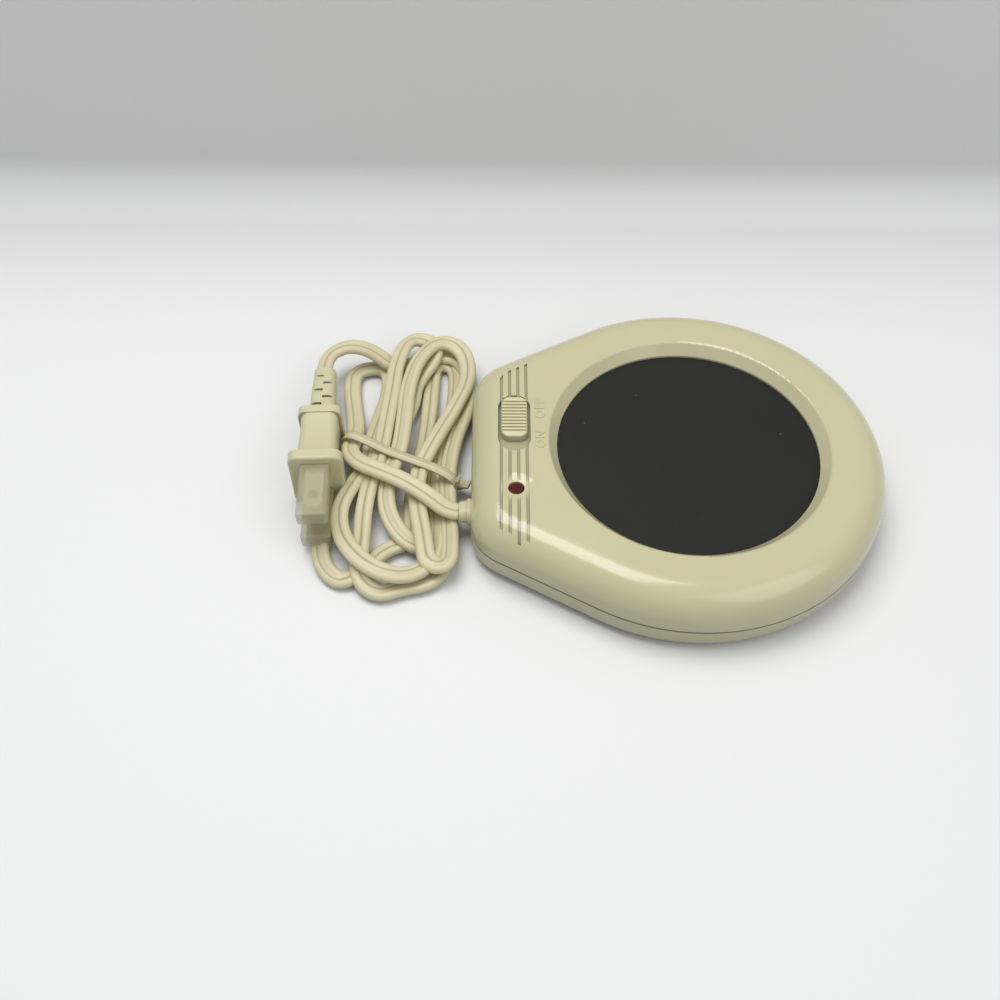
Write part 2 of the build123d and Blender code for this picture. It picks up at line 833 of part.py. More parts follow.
# Heat shield: a pressed dish under the heater that holds the plate's skirt up to the lip
with BuildPart() as heat_shield:
    with BuildSketch(Plane.XZ.shift_origin((round_x, 0, 0))):
        with BuildLine():
            Polyline(
                (0, shield_floor),
                (shield_floor_radius, shield_floor),
                (shield_wall_radius, skirt_low - shield_sheet),
                (shield_rim_radius, skirt_low - shield_sheet),
                (shield_rim_radius, skirt_low),
                (shield_wall_radius - shield_sheet, skirt_low),
                (shield_floor_radius - shield_sheet, shield_floor + shield_sheet),
                (0, shield_floor + shield_sheet),
                close=True,
            )
        make_face()
    revolve(axis=Axis((round_x, 0, 0), (0, 0, 1)))
    with BuildSketch(Plane.XY.offset(skirt_low - shield_sheet)):
        with Locations((round_x, 0)):
            with PolarLocations(shield_screw_radius, shield_screw_count):
                Circle(shield_ear_radius)
            with PolarLocations((shield_screw_radius + shield_wall_radius) / 2, shield_screw_count):
                Rectangle(shield_screw_radius - shield_wall_radius, 2 * shield_ear_radius)
    extrude(amount=shield_sheet)
    with Locations(*[Vector(x, y, skirt_low) for x, y in shield_screw_places]):
        Hole(shield_shank_radius + entry_gap, depth=shield_sheet)
    with Locations((round_x, 0, shield_floor + shield_sheet)):
        with PolarLocations(shield_vent_ring, shield_vent_count, start_angle=wire_hole_angle):
            Hole(shield_vent_radius, depth=shield_sheet)
    for turn in (180 - wire_hole_angle, 180 + wire_hole_angle):
        with BuildSketch(Plane(
            origin=(round_x, 0, wire_hole_height),
            z_dir=(cos(radians(turn)), sin(radians(turn)), 0),
        ).offset(shield_floor_radius - overrun)):
            Circle(wire_hole_radius)
        extrude(amount=shield_wall_radius - shield_floor_radius + overrun, mode=Mode.SUBTRACT)
heat_shield.part.label = "heat_shield"
export_step(heat_shield.part, "parts/heat_shield.step")

shield_screws = screws(
    shield_screw_places, skirt_low - shield_sheet, shield_head_radius, shield_head_height,
    shield_shank_radius, shield_screw_length, True,
)
shield_screws.label = "shield_screws"
export_step(shield_screws, "parts/shield_screws.step")

# Thermal fuse held under the clamp plate by a clip
fuse_x = round_x - clamp_radius + fuse_inset
hole_angle = radians(180 - wire_hole_angle)
fuse_y = (shield_floor_radius - wire_hole_lead) * sin(hole_angle) + fuse_step + fuse_length / 2
fuse_z = clamp_low - fuse_radius
with BuildPart() as thermal_fuse:
    with Locations((fuse_x, fuse_y, fuse_z)):
        Cylinder(fuse_radius, fuse_length, rotation=(90, 0, 0))
    chamfer(thermal_fuse.edges().filter_by(GeomType.CIRCLE), length=fuse_radius / 4)
thermal_fuse.part.label = "thermal_fuse"
export_step(thermal_fuse.part, "parts/thermal_fuse.step")

with BuildPart() as fuse_clip:
    clip_end = (fuse_x, fuse_y + clip_width / 2, fuse_z)
    with BuildSketch(Plane(origin=clip_end, x_dir=(1, 0, 0), z_dir=(0, -1, 0))):
        Circle(fuse_radius + clip_sheet)
        with Locations((0, fuse_radius)):
            Rectangle(
                2 * (fuse_radius + clip_sheet + clip_foot),
                clip_sheet,
                align=(Align.CENTER, Align.MAX),
            )
            Rectangle(2 * (fuse_radius + clip_sheet), fuse_radius, align=(Align.CENTER, Align.MAX))
            Rectangle(
                2 * (fuse_radius + clip_sheet + clip_foot),
                fuse_radius,
                align=(Align.CENTER, Align.MIN),
                mode=Mode.SUBTRACT,
            )
        Circle(fuse_radius, mode=Mode.SUBTRACT)
        Rectangle(2 * fuse_radius, fuse_radius, align=(Align.CENTER, Align.MIN), mode=Mode.SUBTRACT)
    extrude(amount=clip_width)
fuse_clip.part.label = "fuse_clip"
export_step(fuse_clip.part, "parts/fuse_clip.step")

# Switch: a ribbed slide knob, the slider and bridge contact that it carries, the body, its
# metal frame with two ears, the two tabs and the screws
knob_low = recess_floor + knob_lift
with BuildPart() as switch_knob:
    with BuildSketch(Plane.XY.offset(knob_low)):
        with Locations((switch_x, knob_y)):
            RectangleRounded(knob_width, knob_length, knob_corner)
    extrude(amount=body_height + knob_proud - knob_low)
    fillet(switch_knob.edges().group_by(Axis.Z)[-1], radius=knob_edge)
    with BuildSketch(Plane.XY.offset(body_height + knob_proud - knob_rib_depth)):
        with Locations((switch_x, knob_y)):
            with GridLocations(0, knob_rib_pitch, 1, knob_rib_count):
                Rectangle(knob_width + overrun, knob_rib_pitch - knob_rib_width)
    extrude(amount=knob_rib_depth + overrun, mode=Mode.SUBTRACT)
    with Locations((switch_x, knob_y, knob_low)):
        Box(stem_width, stem_length, stem_height, align=hanging)
    with Locations((switch_x, knob_y, knob_low - stem_height)):
        Box(
            post_width + 2 * post_gap,
            post_length + 2 * post_gap,
            stem_height - knob_lift,
            align=standing,
            mode=Mode.SUBTRACT,
        )
switch_knob.part.label = "switch_knob"
export_step(switch_knob.part, "parts/switch_knob.step")

slider_top = switch_top - tongue_gap
with BuildPart() as switch_slider:
    with Locations((switch_x, knob_y, slider_top)):
        Box(slider_width, slider_length, slider_height, align=hanging)
        Box(post_width, post_length, post_height, align=standing)
switch_slider.part.label = "switch_slider"
export_step(switch_slider.part, "parts/switch_slider.step")

slider_low = slider_top - slider_height
with BuildPart() as slide_contact:
    with Locations((switch_x, knob_y, slider_low)):
        Box(contact_width, contact_length, contact_sheet, align=hanging)
slide_contact.part.label = "slide_contact"
export_step(slide_contact.part, "parts/slide_contact.step")

cavity_low = slider_low - contact_sheet - tongue_gap
with BuildPart() as switch_body:
    with Locations((switch_x, track_y, switch_top)):
        Box(switch_width, switch_length, switch_height, align=hanging)
        Box(
            slider_width + 2 * cavity_side_gap,
            slider_length + knob_travel + 2 * cavity_end_gap,
            switch_top - cavity_low,
            align=hanging,
            mode=Mode.SUBTRACT,
        )
switch_body.part.label = "switch_body"
export_step(switch_body.part, "parts/switch_body.step")

with BuildPart() as switch_frame:
    with BuildSketch(Plane.XY.offset(switch_top)):
        with Locations((switch_x, track_y)):
            RectangleRounded(switch_width, switch_length + 2 * frame_reach, frame_corner)
            Rectangle(
                post_width + 2 * cavity_side_gap,
                post_length + knob_travel + 2 * cavity_end_gap,
                mode=Mode.SUBTRACT,
            )
        with Locations(*frame_screw_places):
            Circle(frame_shank_radius + entry_gap, mode=Mode.SUBTRACT)
    extrude(amount=frame_sheet)
switch_frame.part.label = "switch_frame"
export_step(switch_frame.part, "parts/switch_frame.step")

switch_screws = screws(
    frame_screw_places, switch_top, frame_head_radius, frame_head_height,
    frame_shank_radius, frame_screw_length, True,
)
switch_screws.label = "switch_screws"
export_step(switch_screws, "parts/switch_screws.step")

with BuildPart() as switch_tabs:
    with Locations((switch_x, track_y, switch_low)):
        with GridLocations(0, tab_spacing, 1, 2):
            Box(tab_sheet, tab_width, tab_length, align=hanging)
switch_tabs.part.label = "switch_tabs"
export_step(switch_tabs.part, "parts/switch_tabs.step")

# Pilot lamp: a domed red lens with a flange under the cover, a glow bulb in its sleeve, and
# its two fine leads, one of them through a resistor
lens_top = dish_floor - lens_below + lens_dome
with BuildPart() as lamp_lens:
    with Locations((lamp_x, lamp_y, lamp_pad_low)):
        Cylinder(lens_flange_radius, lens_flange, align=hanging)
        Cylinder(lens_radius, lens_top - lamp_pad_low, align=standing)
    fillet(lamp_lens.edges().group_by(Axis.Z)[-1], radius=lens_dome)
lamp_lens.part.label = "lamp_lens"
export_step(lamp_lens.part, "parts/lamp_lens.step")

sleeve_top = lamp_pad_low - lens_flange
with BuildPart() as lamp_sleeve:
    with BuildSketch(Plane.XY.offset(sleeve_top - sleeve_length)):
        with Locations((lamp_x, lamp_y)):
            Circle(bulb_radius + sleeve_gap + sleeve_wall)
            Circle(bulb_radius + sleeve_gap, mode=Mode.SUBTRACT)
    extrude(amount=sleeve_length)
lamp_sleeve.part.label = "lamp_sleeve"
export_step(lamp_sleeve.part, "parts/lamp_sleeve.step")

bulb_top = sleeve_top - seat_gap
with BuildPart() as neon_lamp:
    with Locations((lamp_x, lamp_y, bulb_top)):
        Cylinder(bulb_radius, bulb_length, align=hanging)
    fillet(neon_lamp.edges().group_by(Axis.Z)[-1], radius=bulb_radius / 2)
neon_lamp.part.label = "neon_lamp"
export_step(neon_lamp.part, "parts/neon_lamp.step")
bulb_low = bulb_top - bulb_length

# Cord entry: a flared collar outside, a neck through both shells and a flange inside
collar_tip_x = flat_x - collar_length
flange_x = flat_x + wall + entry_gap
inner_face_x = flange_x + inner_flange
with BuildPart() as cord_grommet:
    with BuildSketch(Plane.YZ.offset(flat_x)):
        with Locations((cord_y, split_height)):
            SlotOverall(entry_width, entry_height)
    extrude(amount=flange_x - flat_x)
    with BuildSketch(Plane.YZ.offset(flange_x)):
        with Locations((cord_y, split_height)):
            SlotOverall(inner_flange_width, inner_flange_height)
    extrude(amount=inner_flange)
    with BuildSketch(Plane.YZ.offset(flat_x)):
        with Locations((cord_y, split_height)):
            SlotOverall(collar_width, collar_height)
    extrude(amount=-collar_bead)
    with BuildSketch(Plane.YZ.offset(flat_x - collar_bead)):
        with Locations((cord_y, split_height)):
            SlotOverall((collar_width + collar_tip_width) / 2, (collar_height + collar_tip_height) / 2)
    with BuildSketch(Plane.YZ.offset(collar_tip_x)):
        with Locations((cord_y, split_height)):
            SlotOverall(collar_tip_width, collar_tip_height)
    loft()
cord_grommet.part.label = "cord_grommet"
export_step(cord_grommet.part, "parts/cord_grommet.step")

# Cord inside the case, held on its saddle by a screwed bar
inner_cord_x = inner_face_x + inner_cord_length
with BuildPart() as cord_inner:
    with BuildSketch(Plane.YZ.offset(inner_face_x)):
        with Locations((cord_y, split_height)):
            Circle(cord_diameter / 2)
    extrude(amount=inner_cord_length)
cord_inner.part.label = "cord_inner"
export_step(cord_inner.part, "parts/cord_inner.step")

with BuildPart() as cord_bar:
    with BuildSketch(Plane.XY.offset(bar_low)):
        with Locations((bar_x, cord_y)):
            SlotOverall(bar_length, 2 * post_radius, rotation=90)
        with Locations(*bar_screw_places):
            Circle(bar_shank_radius + entry_gap, mode=Mode.SUBTRACT)
    extrude(amount=bar_height)
cord_bar.part.label = "cord_bar"
export_step(cord_bar.part, "parts/cord_bar.step")

bar_screws = screws(
    bar_screw_places, bar_low + bar_height, bar_head_radius, bar_head_height,
    bar_shank_radius, bar_screw_length, False,
)
bar_screws.label = "bar_screws"
export_step(bar_screws, "parts/bar_screws.step")

# Crimp connectors that join the inner leads, lying on the base
crimp_z = floor_top + crimp_radius + crimp_lift
crimp_load_x = flat_x + crimp_load_inset
crimp_return_x = flat_x + crimp_return_inset
with BuildPart() as crimp_connectors:
    with Locations(
        (crimp_load_x, crimp_load_y, crimp_z),
        (crimp_return_x, crimp_return_y, crimp_z),
    ):
        Cylinder(crimp_radius - crimp_waist, crimp_length, rotation=(0, 90, 0))
    with Locations(
        (crimp_load_x - crimp_band, crimp_load_y, crimp_z),
        (crimp_load_x + crimp_band, crimp_load_y, crimp_z),
        (crimp_return_x - crimp_band, crimp_return_y, crimp_z),
        (crimp_return_x + crimp_band, crimp_return_y, crimp_z),
    ):
        Cylinder(crimp_radius, crimp_band, rotation=(0, 90, 0))
crimp_connectors.part.label = "crimp_connectors"
export_step(crimp_connectors.part, "parts/crimp_connectors.step")


def offset_from(place, *steps):
    """Points at these steps from a place"""
    return [tuple(base + step for base, step in zip(place, each)) for each in steps]


def hole_point(radius, angle):
    """Point on the axis of a lead's hole in the heat shield, at this radius"""
    turn = radians(angle)
    return (round_x + radius * cos(turn), radius * sin(turn), wire_hole_height)


# Inner leads: from the cord through the switch, the fuse and the element back to the cord
here = (0, 0, 0)
tab_face = switch_x - tab_sheet / 2
low_tab = (tab_face, track_y - tab_spacing / 2, wire_level)
high_tab = (tab_face, track_y + tab_spacing / 2, wire_level)
live_start = (inner_cord_x, cord_y + core_spread, split_height)
return_start = (inner_cord_x, cord_y - core_spread, split_height)
load_in = (crimp_load_x - crimp_length / 2, crimp_load_y, crimp_z)
load_out = (crimp_load_x + crimp_length / 2, crimp_load_y, crimp_z)
return_in = (crimp_return_x - crimp_length / 2, crimp_return_y, crimp_z)
return_out = (crimp_return_x + crimp_length / 2, crimp_return_y, crimp_z)
terminal_z = ribbon_top - ribbon_sheet - terminal_drop / 2
load_lug = (terminal_x, row_places[-1], terminal_z)
return_lug = (terminal_x, row_places[0], terminal_z)
load_outside = hole_point(shield_wall_radius, 180 - wire_hole_angle)
load_inside = hole_point(shield_floor_radius - wire_hole_lead, 180 - wire_hole_angle)
return_outside = hole_point(shield_wall_radius, 180 + wire_hole_angle)
return_inside = hole_point(shield_floor_radius - wire_hole_lead, 180 + wire_hole_angle)
fuse_near = (fuse_x, fuse_y - fuse_length / 2, fuse_z)
fuse_far = (fuse_x, fuse_y + fuse_length / 2, fuse_z)
way_to_lug = tuple((first + second) / 2 for first, second in zip(return_inside, return_lug))
lead_routes = {
    "wire_live": [live_start]
    + offset_from(live_start, *live_turns)
    + offset_from(low_tab, (-lead_pull, 0, 0), here),
    "wire_load": [high_tab]
    + offset_from(high_tab, (-lead_pull, 0, 0))
    + [(tab_face - lead_pull, crimp_load_y, (wire_level + crimp_z) / 2), load_in],
    "wire_fuse": [load_out]
    + offset_from(load_out, (lead_pull, 0, 0))
    + offset_from(load_outside, hole_turn, here)
    + [load_inside]
    + offset_from(fuse_near, fuse_turn, (0, -fuse_pull, 0), here),
    "fuse_lead": [
        fuse_far,
        (fuse_x, fuse_far[1] + fuse_lead_share * (load_lug[1] - fuse_far[1]), fuse_z),
    ]
    + offset_from(load_lug, (-lug_pull, 0, 0), here),
    "wire_return": [return_start]
    + offset_from(return_start, (return_turn, 0, 0))
    + offset_from(return_in, (-return_rise, 0, 0), here),
    "wire_element": [return_out]
    + offset_from(return_out, (lead_pull, 0, 0))
    + offset_from(return_outside, hole_turn_return, here)
    + [return_inside, way_to_lug]
    + offset_from(return_lug, (-lug_pull, 0, 0), here),
}
for lead_name, lead_points in lead_routes.items():
    lead = tube(lead_points, wire_radius)
    lead.label = lead_name
    export_step(lead, f"parts/{lead_name}.step")

# Fine leads of the lamp, one straight to the return crimp, the other through a resistor
resistor_x = flat_x + resistor_inset
resistor_start = (resistor_x, resistor_y - resistor_length / 2, wire_level)
resistor_end = (resistor_x, resistor_y + resistor_length / 2, wire_level)
return_edge_y = crimp_return_y + core_spread + lead_radius
with BuildPart() as lamp_leads:
    add(tube([
        (lamp_x - lead_spread, lamp_y, bulb_low),
        (lamp_x - lead_spread, lamp_y, crimp_z),
        (return_in[0] - lamp_lead_step, return_edge_y, crimp_z),
        (return_in[0], return_edge_y, crimp_z),
    ], lead_radius))
    add(tube([
        (lamp_x + lead_spread, lamp_y, bulb_low),
        (lamp_x + lead_spread, lamp_y, bulb_low - lamp_lead_drop),
        (resistor_x, lamp_y + lamp_lead_step, wire_level),
        resistor_start,
    ], lead_radius))
    add(tube([
        resistor_end,
        (resistor_x, high_tab[1], wire_level),
        (switch_x + tab_sheet / 2, high_tab[1], wire_level),
    ], lead_radius))
lamp_leads.part.label = "lamp_leads"
export_step(lamp_leads.part, "parts/lamp_leads.step")

with BuildPart() as lamp_resistor:
    with Locations((resistor_x, resistor_y, wire_level)):
        Cylinder(resistor_radius, resistor_length, rotation=(90, 0, 0))
    fillet(lamp_resistor.edges().filter_by(GeomType.CIRCLE), radius=resistor_radius / 2)
lamp_resistor.part.label = "lamp_resistor"
export_step(lamp_resistor.part, "parts/lamp_resistor.step")

# Hank: one unbroken cord wound to and fro in two layers. Each pass is drawn in and lifted at
# the waist, where the tie goes round, and each end is a half turn. Here x is across the hank
# and y along it.
half_cord = cord_diameter / 2
layer_z = [half_cord - hank_flat, half_cord - hank_flat + hank_layer]
hank_outer = hank_inner + hank_pitch / 2 * layer_passes
slots = [hank_outer - hank_pitch / 2 * index for index in range(layer_passes + 1)]
slots = slots + slots[-2 : -2 - back_passes : -1]


def side_of(index):
    """Side of the hank on which this pass lies, the first one on the left"""
    return -1 if index % 2 == 0 else 1


def eased(start, end):
    """Two equal arcs from start to end, both tangent to the length of the hank"""
    middle = (Vector(*start) + Vector(*end)) / 2
    onward = 1 if end[1] > start[1] else -1
    first = TangentArc(start, middle, tangent=(0, onward, 0))
    TangentArc(middle, end, tangent=first % 1)


def half_turn(from_x, to_x, y, z, onward):
    """Half circle round one end of the hank"""
    reach = abs(to_x - from_x) / 2
    ThreePointArc((from_x, y, z), ((from_x + to_x) / 2, y + onward * reach, z), (to_x, y, z))


last_pass = len(slots) - 1
hank_exit = (exit_inset - slots[last_pass], hank_end, layer_z[1] + exit_lift)
with BuildPart() as hank_tube:
    with BuildLine() as hank_line:
        Line((-slots[0], hank_end - cord_diameter, layer_z[0]), (-slots[0], hank_end, layer_z[0]))
        half_turn(-slots[0], slots[1], hank_end, layer_z[0], 1)
        for index in range(1, last_pass + 1):
            onward = side_of(index) * -1
            x = side_of(index) * slots[index]
            waist_x = side_of(index) * (slots[index] - hank_draw)
            start_z = layer_z[0] if index <= layer_passes else layer_z[1]
            end_z = layer_z[0] if index < layer_passes else layer_z[1]
            waist_z = (start_z + end_z) / 2 + hank_lift
            eased((x, -onward * hank_end, start_z), (waist_x, -onward * hank_waist, waist_z))
            Line((waist_x, -onward * hank_waist, waist_z), (waist_x, onward * hank_waist, waist_z))
            if index < last_pass:
                eased((waist_x, onward * hank_waist, waist_z), (x, onward * hank_end, end_z))
                half_turn(x, -side_of(index) * slots[index + 1], hank_end * onward, end_z, onward)
            else:
                eased(
                    (waist_x, hank_waist, waist_z),
                    (hank_exit[0], hank_exit[1] - cord_diameter, hank_exit[2]),
                )
                Line((hank_exit[0], hank_exit[1] - cord_diameter, hank_exit[2]), hank_exit)
    hank_wire = hank_line.wires()[0]
    with BuildSketch(Plane(origin=hank_wire @ 0, z_dir=hank_wire % 0)):
        Circle(half_cord)
    sweep(path=hank_wire)
    with Locations((0, 0, 0)):
        Box(
            body_length,
            body_length,
            cord_diameter,
            align=hanging,
            mode=Mode.SUBTRACT,
        )
hank_place = (flat_x - hank_gap, hank_y, 0)
hank_location = Location(hank_place, (0, 0, hank_turn))
with BuildPart() as cord_hank:
    with Locations(hank_location):
        add(hank_tube.part)
cord_hank.part.label = "cord_hank"
export_step(cord_hank.part, "parts/cord_hank.step")

# Least gap between stretches of the hank, measured on points along it
point_step = half_cord / 2
point_count = int(hank_wire.length / point_step)
hank_points = [hank_wire @ (index / point_count) for index in range(point_count + 1)]
apart = int(3 * cord_diameter / point_step)
least = min(
    (first - second).length
    for index, first in enumerate(hank_points)
    for second in hank_points[index + apart :]
)
print("hank length", round(hank_wire.length), "least gap", round(least - cord_diameter, 2))


def placed(x, y, z):
    """Point of the hank's own frame as it stands beside the housing"""
    turn = radians(hank_turn)
    return (
        hank_place[0] + x * cos(turn) - y * sin(turn),
        hank_place[1] + x * sin(turn) + y * cos(turn),
        z,
    )


# Cord from the collar over the hank and down beside it to its first turn, and from its last
# turn round to the plug
plug_lean = radians(plug_turn)
plug_place = (flat_x - plug_gap, plug_y, front_flange_height / 2)
flat_foot = (flat_x, 0, 0)
relief_tip = plug_length + relief_length
tail_end = (
    plug_place[0] - relief_tip * sin(plug_lean),
    plug_place[1] + relief_tip * cos(plug_lean),
    plug_place[2],
)
tail_last = (
    tail_end[0] - tail_foot * sin(plug_lean),
    tail_end[1] + tail_foot * cos(plug_lean),
    plug_place[2],
)
hank_start_y = hank_end - cord_diameter
cord_routes = {
    "cord_lead": [(collar_tip_x, cord_y, split_height)]
    + offset_from(flat_foot, *lead_route)
    + [
        placed(-hank_outer, hank_start_y - lead_foot, layer_z[0]),
        placed(-hank_outer, hank_start_y, layer_z[0]),
    ],
    "cord_tail": [placed(*hank_exit), placed(hank_exit[0], hank_exit[1] + tail_foot, hank_exit[2])]
    + offset_from(flat_foot, *tail_route)
    + [tail_last, tail_end],
}
for cord_name, cord_points in cord_routes.items():
    print(cord_name, "radii", [round(radius, 1) for radius in bend_radii(cord_points)])
    with BuildPart() as cord:
        add(tube(cord_points, half_cord))
        with Locations((hank_place[0], 0, 0)):
            Box(
                body_length,
                2 * body_length,
                cord_diameter,
                align=hanging,
                mode=Mode.SUBTRACT,
            )
    cord.part.label = cord_name
    export_step(cord.part, f"parts/{cord_name}.step")
    print(cord_name, "length", round(cord.part.volume / (half_cord**2 * pi)))

# Plug: a moulded body with two flanges, standing on edge, its blades one above the other.
# The plane's x is across the plug, y is up and z runs out along the blades.
plug_plane = Plane(
    origin=plug_place,
    x_dir=(cos(plug_lean), sin(plug_lean), 0),
    z_dir=(sin(plug_lean), -cos(plug_lean), 0),
)
plug_axis = Axis(plug_place, plug_plane.z_dir)
with BuildPart() as plug_body:
    with BuildSketch(plug_plane):
        RectangleRounded(front_flange_width, front_flange_height, plug_corner)
    extrude(amount=-front_flange)
    fillet(plug_body.faces().sort_by(plug_axis)[-1].edges(), radius=plug_edge)
    with BuildSketch(plug_plane.offset(-front_flange)):
        RectangleRounded(plug_body_width, plug_body_height, plug_corner)
    with BuildSketch(plug_plane.offset(-plug_length / 2)):
        RectangleRounded(plug_body_waist_width, plug_body_waist_height, plug_corner)
    with BuildSketch(plug_plane.offset(rear_flange - plug_length)):
        RectangleRounded(plug_body_waist_width, plug_body_waist_height, plug_corner)
    loft()
    with BuildSketch(plug_plane.offset(-plug_length)):
        RectangleRounded(rear_flange_width, rear_flange_height, plug_corner)
    extrude(amount=rear_flange)
    with BuildSketch(plug_plane):
        with GridLocations(0, blade_spacing, 1, 2):
            Rectangle(blade_width, blade_sheet)
    extrude(amount=-blade_root, mode=Mode.SUBTRACT)
plug_body.part.label = "plug_body"
export_step(plug_body.part, "parts/plug_body.step")

# Strain relief: a tapered sleeve, notched on alternate sides so that it bends
with BuildPart() as plug_relief:
    with BuildSketch(plug_plane.offset(-plug_length)):
        RectangleRounded(relief_base_width, relief_base_height, plug_corner)
    with BuildSketch(plug_plane.offset(-relief_tip)):
        RectangleRounded(relief_tip_width, relief_tip_height, plug_corner)
    loft()
    for index in range(relief_slot_count):
        side = -1 if index % 2 == 0 else 1
        place = relief_slot_start + index * relief_slot_pitch
        edge_z = relief_base_height / 2 - relief_slot_depth
        with BuildSketch(plug_plane.offset(-plug_length - place)):
            for upright in (-1, 1):
                with Locations((side * relief_base_width * relief_slot_reach_share / 2, upright * edge_z)):
                    Rectangle(
                        relief_base_width * relief_slot_reach_share,
                        relief_slot_depth * 2,
                        align=(Align.CENTER, Align.MIN if upright > 0 else Align.MAX),
                    )
        extrude(amount=-relief_slot_width, mode=Mode.SUBTRACT)
plug_relief.part.label = "plug_relief"
export_step(plug_relief.part, "parts/plug_relief.step")

# Blades, each with its hole, and the clear covers pushed over them
for level, upright in (("upper", 1), ("lower", -1)):
    blade_middle = upright * blade_spacing / 2
    with BuildPart() as blade:
        with BuildSketch(plug_plane.offset(-blade_root)):
            with Locations((0, blade_middle)):
                Rectangle(blade_width, blade_sheet)
        extrude(amount=blade_root + blade_length)
        tip_edges = blade.edges().filter_by(Axis.Z).sort_by(plug_axis)[-2:]
        chamfer(tip_edges, length=blade_tip_corner)
        hole_plane = Plane(
            origin=plug_plane.from_local_coords((0, blade_middle, blade_hole_reach)),
            x_dir=plug_plane.x_dir,
            z_dir=(0, 0, 1),
        )
        with BuildSketch(hole_plane):
            Circle(blade_hole_radius)
        extrude(amount=blade_sheet, both=True, mode=Mode.SUBTRACT)
    blade.part.label = f"blade_{level}"
    export_step(blade.part, f"parts/blade_{level}.step")
    with BuildPart() as cover:
        with BuildSketch(plug_plane):
            with Locations((0, blade_middle)):
                Rectangle(cover_width, cover_height)
        extrude(amount=cover_length)
        fillet(cover.edges(), radius=cover_edge)
        with BuildSketch(plug_plane):
            with Locations((0, blade_middle)):
                Rectangle(blade_width + 2 * cover_gap, blade_sheet + 2 * cover_gap)
        extrude(amount=cover_length - cover_wall, mode=Mode.SUBTRACT)
    cover.part.label = f"cover_{level}"
    export_step(cover.part, f"parts/cover_{level}.step")

# Tie: a flat band drawn round the hank's waist and the lead, its two ends twisted together
tie_lean = radians(tie_turn)
tie_place = placed(tie_shift, tie_back, 0)
tie_skew = radians(tie_turn - hank_turn)
tie_edge = tie_width / 2 * abs(tan(tie_skew)) + tie_spread


def crossing(slot, side, z):
    """Where the tie's plane meets a strand of the waist, on its outer edge"""
    return ((side * (slot - hank_draw) - tie_shift) / cos(tie_skew) + side * tie_edge, z)


tie_crossings = tie_lead_crossings + [
    crossing(slots[2], -1, layer_z[0] + hank_lift),
    crossing(slots[1], 1, layer_z[0] + hank_lift),
    crossing(slots[3], 1, layer_z[1] + hank_lift),
    crossing(slots[2], -1, layer_z[1] + hank_lift),
]
print("tie crossings", [(round(x, 2), round(z, 2)) for x, z in tie_crossings])
tie_end_place = (tie_crossings[3][0] + tie_end_side, tie_end_height)
tie_plane = Plane(
    origin=tie_place,
    x_dir=(cos(tie_lean), sin(tie_lean), 0),
    z_dir=(sin(tie_lean), -cos(tie_lean), 0),
)
with BuildPart() as twist_tie:
    with BuildSketch(tie_plane):
        with Locations(*tie_crossings):
            Circle(half_cord + tie_slack + tie_sheet)
        make_hull()
    extrude(amount=tie_width / 2, both=True)
    for side in (-1, 1):
        flap_turn = Location((*tie_end_place, 0), (side * tie_flap_lean, tie_end_lean, 0))
        flap_plane = Plane(tie_plane.location * flap_turn)
        with BuildSketch(flap_plane):
            Rectangle(tie_sheet * 2, tie_end_width)
        extrude(amount=tie_end_length)
    with BuildSketch(tie_plane):
        with Locations(*tie_crossings):
            Circle(half_cord + tie_slack)
        make_hull()
    extrude(amount=tie_end_length, both=True, mode=Mode.SUBTRACT)
twist_tie.part.label = "twist_tie"
export_step(twist_tie.part, "parts/twist_tie.step")
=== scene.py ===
# Candle warmer plate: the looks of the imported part, in metres, in the part's own frame.
import math

import bmesh
import bpy
from mathutils import Matrix, Vector


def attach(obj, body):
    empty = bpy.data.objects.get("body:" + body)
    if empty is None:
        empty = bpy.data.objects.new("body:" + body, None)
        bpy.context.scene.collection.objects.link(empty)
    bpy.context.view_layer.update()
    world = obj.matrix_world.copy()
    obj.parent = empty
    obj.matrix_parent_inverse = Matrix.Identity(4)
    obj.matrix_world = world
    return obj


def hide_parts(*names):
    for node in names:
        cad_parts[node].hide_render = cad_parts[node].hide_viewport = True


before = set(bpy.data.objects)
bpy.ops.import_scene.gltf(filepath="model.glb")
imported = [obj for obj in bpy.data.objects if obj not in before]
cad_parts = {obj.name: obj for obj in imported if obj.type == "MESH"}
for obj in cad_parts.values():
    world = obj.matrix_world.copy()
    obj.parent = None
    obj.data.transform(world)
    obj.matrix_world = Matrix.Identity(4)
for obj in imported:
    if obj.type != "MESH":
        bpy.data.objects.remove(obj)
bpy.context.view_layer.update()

# Camera, floor and lamps. The photograph looks down at the warmer from the front. It lies on a
# plain white floor before a pale backdrop that curves up behind it, under soft light from above
# and behind.
camera_data = bpy.data.cameras.new("camera")
camera_data.lens = 39.76
camera_data.sensor_width = 36.0
camera_data.clip_start = 0.01
camera = bpy.data.objects.new("camera", camera_data)
camera.location = (-0.06431, -0.25273, 0.3123)
camera.rotation_euler = (math.radians(38.098), math.radians(-0.438), math.radians(0.093))
bpy.context.scene.collection.objects.link(camera)
bpy.context.scene.camera = camera

